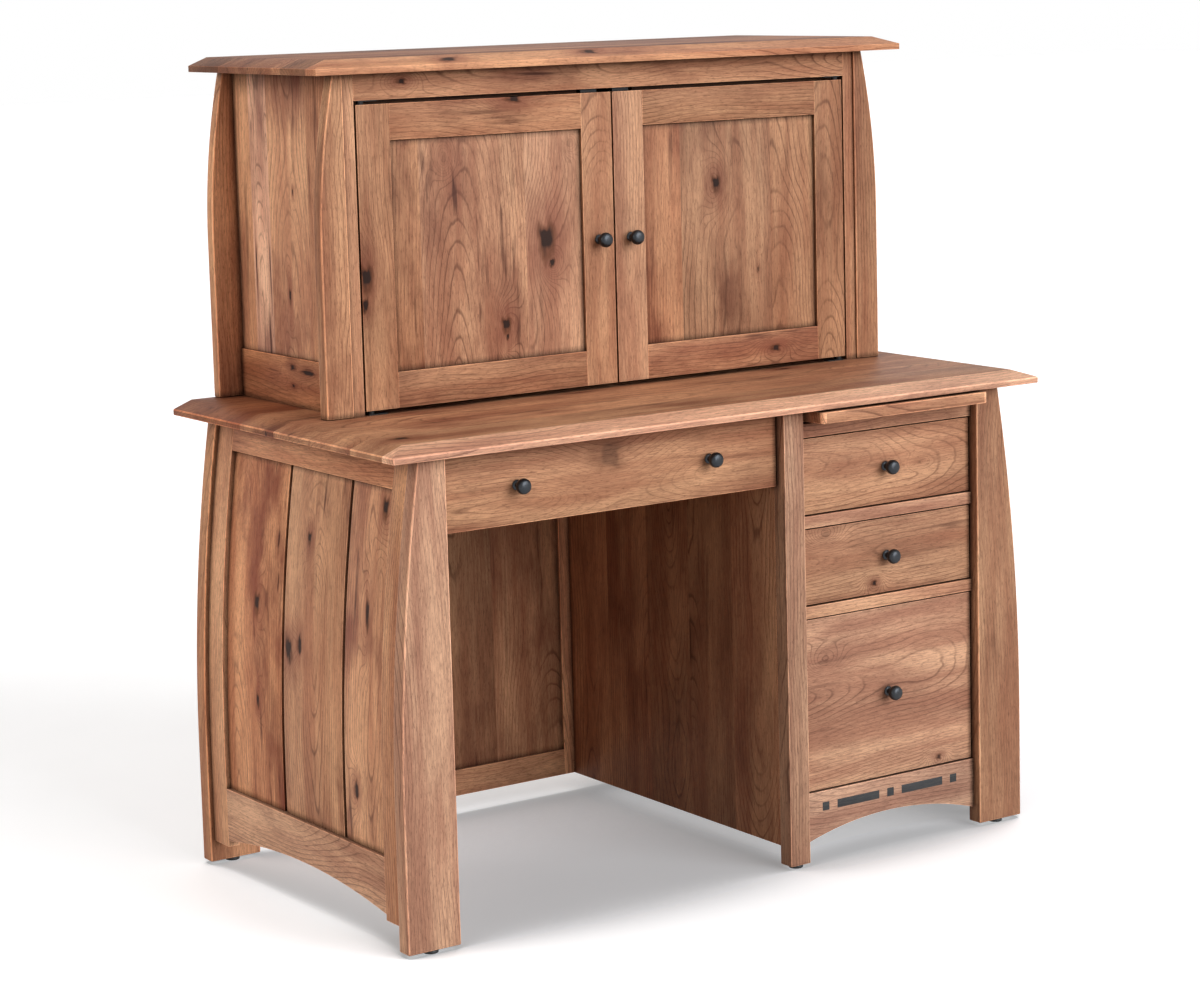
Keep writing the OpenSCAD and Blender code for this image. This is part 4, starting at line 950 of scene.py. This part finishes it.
for label, ((x0, x1, z0, front_h, box_h), pith, tone, knots) in DRAWERS.items():
    body = f"{label}_drawer"
    front = box(x0 + REVEAL, x1 - REVEAL, FRONT_Y, BOX_Y, z0, z0 + front_h, 1.2)
    saw(front, "XZY", pith, tone, knots)
    finish_piece(f"{body}_front_board", [front], HICKORY, body, "hickory", f"{body}_front")

    bx0, bx1, by1, bz0 = x0 + SLIDE_T, x1 - SLIDE_T, BOX_Y + BOX_L, z0 + BOX_UP
    bz1, floor_z, t = bz0 + box_h, bz0 + 8, SIDE_BOX_T
    parts = []
    for px0, px1 in ((bx0, bx0 + t), (bx1 - t, bx1)):
        parts.append(saw(box(px0, px1, BOX_Y, by1, bz0, bz1), "YZX", RIFT))
    parts.append(saw(box(bx0 + t, bx1 - t, BOX_Y, BOX_Y + t, bz0, bz1), "XZY", RIFT))
    parts.append(saw(box(bx0 + t, bx1 - t, by1 - t, by1, floor_z + 6, bz1), "XZY", RIFT))
    bottom = box(bx0 + t, bx1 - t, BOX_Y + t, by1, floor_z, floor_z + 6, 0.3)
    parts.append(saw(bottom, "XYZ", FLAT, (0.05, 0.0, 0.3)))
    finish_piece(f"{body}_box_boards", parts, MAPLE, body, "maple", f"{body}_box")

# %% [markdown]
# Two steel strips lie on the sides of the file drawer and carry its folders.

# %% Hanging-file rails
HANGER_T, HANGER_H = 3, 14
x0, x1, z0, front_h, box_h = FILE
z = z0 + BOX_UP + box_h
inset = SLIDE_T + SIDE_BOX_T / 2
rails = []
for x in (x0 + inset, x1 - inset):
    y0, y1 = BOX_Y + SIDE_BOX_T, BOX_Y + BOX_L - SIDE_BOX_T
    rails.append(box(x - HANGER_T / 2, x + HANGER_T / 2, y0, y1, z, z + HANGER_H, 0.4))
finish_piece("file_drawer_hanging_rails", rails, ZINC, "file_drawer", "zinc_steel")

# %% [markdown]
# A writing board pulls out under the desk top. Its lip is the only part that shows when it is
# in, and its front corners are rounded, so its outline is drawn and extruded upward.

# %% Writing board
PULL_X0, PULL_X1, PULL_Y0, PULL_Y1, PULL_Z0, PULL_Z1 = 163, 515, -361, 209, 742, 761
LIP_D, LIP_R = 27, 8
board = box(PULL_X0, PULL_X1, PULL_Y0 + LIP_D, PULL_Y1, PULL_Z0, PULL_Z1, 0.6)
glued(board, "Y", "XYZ", even_boards(PULL_Y0 + LIP_D, PULL_Y1, (0.03, -0.03, 0.0, 0.04)))
finish_piece("writing_board_panel", [board], HICKORY, "writing_board", "hickory", "writing_board")

turns = [math.radians(10 * k) for k in range(10)]
corner = [(LIP_R * (1 - math.sin(a)), LIP_R * (1 - math.cos(a))) for a in turns]
outline = [(PULL_X1, PULL_Y0 + LIP_D), (PULL_X0, PULL_Y0 + LIP_D)]
outline += [(PULL_X0 + u, PULL_Y0 + v) for u, v in corner[::-1]]
outline += [(PULL_X1 - u, PULL_Y0 + v) for u, v in corner]
lip = saw(prism(outline, "Z", PULL_Z0, PULL_Z1, 1.6), "XYZ", QUARTER, (0.15, -0.04, 0.4))
finish_piece("writing_board_front_lip", [lip], HICKORY, "writing_board", "hickory", "writing_board_lip")

# %% [markdown]
# Knobs and glides are turned on a lathe. Here too: half their outline is drawn point by point,
# and the Screw modifier turns it once round its axis. The knob has a thin foot, a slim neck
# and a rounded head. It is made once, and each knob is a copy with its own mesh.


# %% Turning
def lathe(profile, axis, steps=48):
    """A turned piece: profile is (radius, height) pairs that start and end on the axis."""
    along = AXES.index(axis)
    bpy.ops.object.select_all(action="DESELECT")
    bpy.ops.mesh.primitive_circle_add(vertices=len(profile), fill_type="NOTHING")
    obj = bpy.context.object
    for vertex, (radius, height) in zip(obj.data.vertices, profile):
        vertex.co = (radius * MM, 0, 0)
        vertex.co[along] = height * MM
    turn = {"steps": steps, "render_steps": steps, "use_merge_vertices": True, "merge_threshold": 1e-6}
    apply_modifier(obj, "SCREW", axis=axis, **turn)
    bpy.ops.object.mode_set(mode="EDIT")
    bpy.ops.mesh.select_all(action="SELECT")
    bpy.ops.mesh.remove_doubles(threshold=1e-6)
    bpy.ops.mesh.delete_loose()
    bpy.ops.mesh.select_all(action="SELECT")
    bpy.ops.mesh.normals_make_consistent(inside=False)
    bpy.ops.object.mode_set(mode="OBJECT")
    return obj


def copies(obj, places):
    """obj copied to each place, and then removed."""
    made = []
    for place in places:
        only(obj)
        bpy.ops.object.duplicate()
        bpy.ops.transform.translate(value=Vector(place) * MM)
        bpy.ops.object.transform_apply(location=True, rotation=True, scale=True)
        made.append(bpy.context.object)
    return made


# %% Knobs
KNOB = [
    (0, 0), (8, 0), (8, 1.2), (7.2, 2.0), (5.2, 3.2), (4.5, 5.5), (4.4, 8.5), (5.2, 11), (8.2, 12.9),
    (11, 14.9), (12.3, 17.6), (12.5, 20.2), (12.0, 22.8), (10.8, 25.0), (9.0, 26.6), (6.5, 27.5),
    (3.5, 27.9), (0, 28),
]
KNOB_SPREAD = 182
KNOB_X, KNOB_Z = DOOR_X0 + STILE_W / 2, (DOOR_Z0 + DOOR_Z1) / 2


def on_front(bay, shift=0):
    """The middle of a drawer front, moved aside by shift."""
    x0, x1, z0, front_h, _ = bay
    return ((x0 + x1) / 2 + shift, FRONT_Y, z0 + front_h / 2)


KNOBS = {
    "left_door_knob": ("left_door", [(-KNOB_X, HPOST_Y, KNOB_Z)]),
    "right_door_knob": ("right_door", [(KNOB_X, HPOST_Y, KNOB_Z)]),
    "pencil_drawer_knobs": ("pencil_drawer", [on_front(PENCIL, -KNOB_SPREAD), on_front(PENCIL, KNOB_SPREAD)]),
    "upper_drawer_knob": ("upper_drawer", [on_front(UPPER)]),
    "lower_drawer_knob": ("lower_drawer", [on_front(LOWER)]),
    "file_drawer_knob": ("file_drawer", [on_front(FILE)]),
}
pattern_knob = lathe([(radius, -height) for radius, height in KNOB], "Y")
for node, (body, places) in KNOBS.items():
    finish_piece(node + "_turned", copies(pattern_knob, places), BRONZE, body, "black_knob", node)
bpy.data.objects.remove(pattern_knob)

# %% [markdown]
# A glide is a plain plastic disc with a worn lower edge, one under each leg and the centre post.

# %% Glides
GLIDE = [(0, 0), (10.5, 0), (11.6, 0.5), (12, 1.5), (12, 5), (11.4, 6), (0, 6)]
FOOT_X, FOOT_Y = LEG_IN + 46.5, (LEG_Y + LEG_T / 2, BACK_LEG_Y + LEG_T / 2)
feet = [(side * FOOT_X, y, 0) for side in (-1, 1) for y in FOOT_Y]
feet.append(((POST_X0 + POST_X1) / 2, FOOT_Y[0], 0))
pattern_glide = lathe(GLIDE, "Z")
finish_piece("glide_discs", copies(pattern_glide, feet), PLASTIC, "desk", "black_plastic", "glides")
bpy.data.objects.remove(pattern_glide)

# %% [markdown]
# Slides, pivots, pins and catches are out of sight, or nearly so. Their CAD shapes are right as
# they are, and only need the material of the real part.

# %% Hidden hardware
KEPT = {
    "cabinet_slides": ZINC, "door_catches": PLASTIC, "slide_strips": MAPLE,
    "shelf_pins": BLACK_STEEL, "pivot_plates": BLACK_STEEL,
}
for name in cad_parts:
    if name.endswith(("_runners", "_middle_slides")):
        KEPT[name] = ZINC
    if name.endswith("_door_pivots"):
        KEPT[name] = BLACK_STEEL
for name, material in KEPT.items():
    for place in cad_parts[name].material_slots:
        place.material = material
print("CAD nodes kept:", len(KEPT))

# %% [markdown]
# The desk stands on a white studio floor. To the camera the floor is white, and one even grey
# where the desk shuts out the sky above it: an ambient occlusion node finds the share of sky that
# is left, and a ramp turns it into a shade. To the desk's own wood the floor is mid grey, so that
# it doesn't light the kneehole from below.

# %% Floor
# Share of open sky, and how much of its white the floor keeps there. Deep under the desk the floor
# gets little light anyway, so it keeps more of it, and the shadow comes out even.
SHADOW = [
    (0.0, 0.95), (0.05, 0.86), (0.1, 0.69), (0.15, 0.6), (0.2, 0.54), (0.3, 0.5), (0.42, 0.49),
    (0.48, 0.54), (0.54, 0.68), (0.6, 0.9), (0.68, 1.0),
]

# The share is of the sky within this many metres. The floor also glows a little by itself, so
# that it stays white with no more light on the desk.
SKY_REACH, FLOOR_GLOW = 0.9, 0.48

# Painted plywood floor, rolled matte white
floor_paint, tree, shader = new_material("white_studio_floor")
rays = add(tree, "LightPath", give=None).outputs
seen = add(tree, "Math", rays["Is Glossy Ray"], rays["Is Transmission Ray"], operation="MAXIMUM")
seen = add(tree, "Math", rays["Is Camera Ray"], seen, operation="MAXIMUM")
sky = add(tree, "AmbientOcclusion", samples=48, Distance=SKY_REACH, give="AO")
ramp = add(tree, "ValToRGB", sky, give=None)
for place, level in SHADOW[1:-1]:
    ramp.color_ramp.elements.new(place)
for stop, (place, level) in zip(ramp.color_ramp.elements, SHADOW):
    stop.position, stop.color = place, (level, level, level, 1.0)
shade = ramp.outputs["Color"]
mottle = add(tree, "TexNoise", Vector=add(tree, "TexCoord", give="Object"), Scale=6.0, Detail=2.0)
white = {"Factor_Float": mottle, "A_Color": linear("#f5f6f8"), "B_Color": linear("#f9fafc")}
white = add(tree, "Mix", data_type="RGBA", give=2, **white)
white = add(tree, "VectorMath", white, shade, operation="MULTIPLY")
colour = {"Factor_Float": seen, "A_Color": linear("#a4a19f"), "B_Color": white}
colour = add(tree, "Mix", data_type="RGBA", give=2, **colour)
tree.links.new(colour, shader.inputs["Base Color"])
tree.links.new(white, shader.inputs["Emission Color"])
glow = add(tree, "Math", seen, FLOOR_GLOW, operation="MULTIPLY")
tree.links.new(glow, shader.inputs["Emission Strength"])
shader.inputs["Roughness"].default_value = 0.9
shader.inputs["Specular IOR Level"].default_value = 0.1
bpy.ops.object.select_all(action="DESELECT")
bpy.ops.mesh.primitive_plane_add(size=60, location=(0, 0, 0))
floor = bpy.context.object
floor.name = "studio_floor"
floor.data.materials.append(floor_paint)
print("floor:", tuple(floor.dimensions))

# %% [markdown]
# The world stands for the studio round the desk. It is brighter toward the walls than above,
# so that upright fronts outshine the tops. Rays that show it to the eye see plain white. Two
# broad lamps shape the desk: a low one from the front and right lights the fronts, and a weaker,
# warmer one from the left lights the bowed side.

# %% World and lamps
world = bpy.data.worlds.new("studio")
bpy.context.scene.world = world
world.use_nodes = True
tree = world.node_tree
tree.nodes.clear()
rays = add(tree, "LightPath", give=None).outputs
seen = add(tree, "Math", rays["Is Glossy Ray"], rays["Is Transmission Ray"], operation="MAXIMUM")
seen = add(tree, "Math", rays["Is Camera Ray"], seen, operation="MAXIMUM")
height = add(tree, "SeparateXYZ", add(tree, "TexCoord", give="Generated"), give=2)
level = add(tree, "MapRange", height, 0.0, 1.0, 0.68, 0.25)
ambient = add(tree, "Background", Color=(1.0, 0.97, 0.94, 1.0), Strength=level)
white = add(tree, "Background", Color=(1.0, 1.0, 1.0, 1.0), Strength=1.0)
add(tree, "OutputWorld", add(tree, "MixShader", seen, ambient, white), give=None)


def sun(name, azimuth, elevation, strength, angle, colour=(1.0, 1.0, 1.0)):
    """A soft distant lamp. Azimuth 0 shines along +Y, and a positive one comes from the right."""
    data = bpy.data.lights.new(name, "SUN")
    data.energy, data.angle, data.color = strength, math.radians(angle), colour
    obj = bpy.data.objects.new(name, data)
    bpy.context.collection.objects.link(obj)
    a, e = math.radians(azimuth), math.radians(elevation)
    source = Vector((math.sin(a) * math.cos(e), -math.cos(a) * math.cos(e), math.sin(e)))
    obj.rotation_euler = source.to_track_quat("Z", "Y").to_euler()
    print("lamp:", name, strength)


sun("key", 18, 20, 2.6, 45, (0.98, 1.0, 1.03))
sun("side", -98, 22, 1.2, 28, (1.0, 0.94, 0.85))

# %% [markdown]
# The camera stands where the photographer stood: low, well back and to the left. Its numbers
# come from matching points of the desk to the photograph. A small lens shift keeps the desk
# in the frame while the camera looks down less steeply.

# %% Camera
WIDTH, HEIGHT = 1200, 1000
FOCAL_PX, CENTRE_X, CENTRE_Y = 3102.24, 640.85, 410.0
AZIMUTH, PITCH, ROLL = 0.6080266, -0.1430193, -0.0245183
PLACE = (-2.8988226, -4.2478207, 1.4845054)
ahead = Vector((math.sin(AZIMUTH) * math.cos(PITCH), math.cos(AZIMUTH) * math.cos(PITCH), math.sin(PITCH)))
level_right = Vector((math.cos(AZIMUTH), -math.sin(AZIMUTH), 0))
level_up = level_right.cross(ahead)
right = math.cos(ROLL) * level_right + math.sin(ROLL) * level_up
up = -math.sin(ROLL) * level_right + math.cos(ROLL) * level_up
data = bpy.data.cameras.new("camera")
camera = bpy.data.objects.new("camera", data)
bpy.context.collection.objects.link(camera)
camera.matrix_world = Matrix.Translation(PLACE) @ Matrix((right, up, -ahead)).transposed().to_4x4()
data.sensor_fit = "HORIZONTAL"
data.sensor_width = 36.0
data.lens = FOCAL_PX / WIDTH * data.sensor_width
data.shift_x = (WIDTH / 2 - CENTRE_X) / WIDTH
data.shift_y = (CENTRE_Y - HEIGHT / 2) / WIDTH
data.clip_end = 100.0
bpy.context.scene.camera = camera
bpy.context.scene.view_settings.view_transform = "Standard"
print("lens:", round(data.lens, 1), "mm")
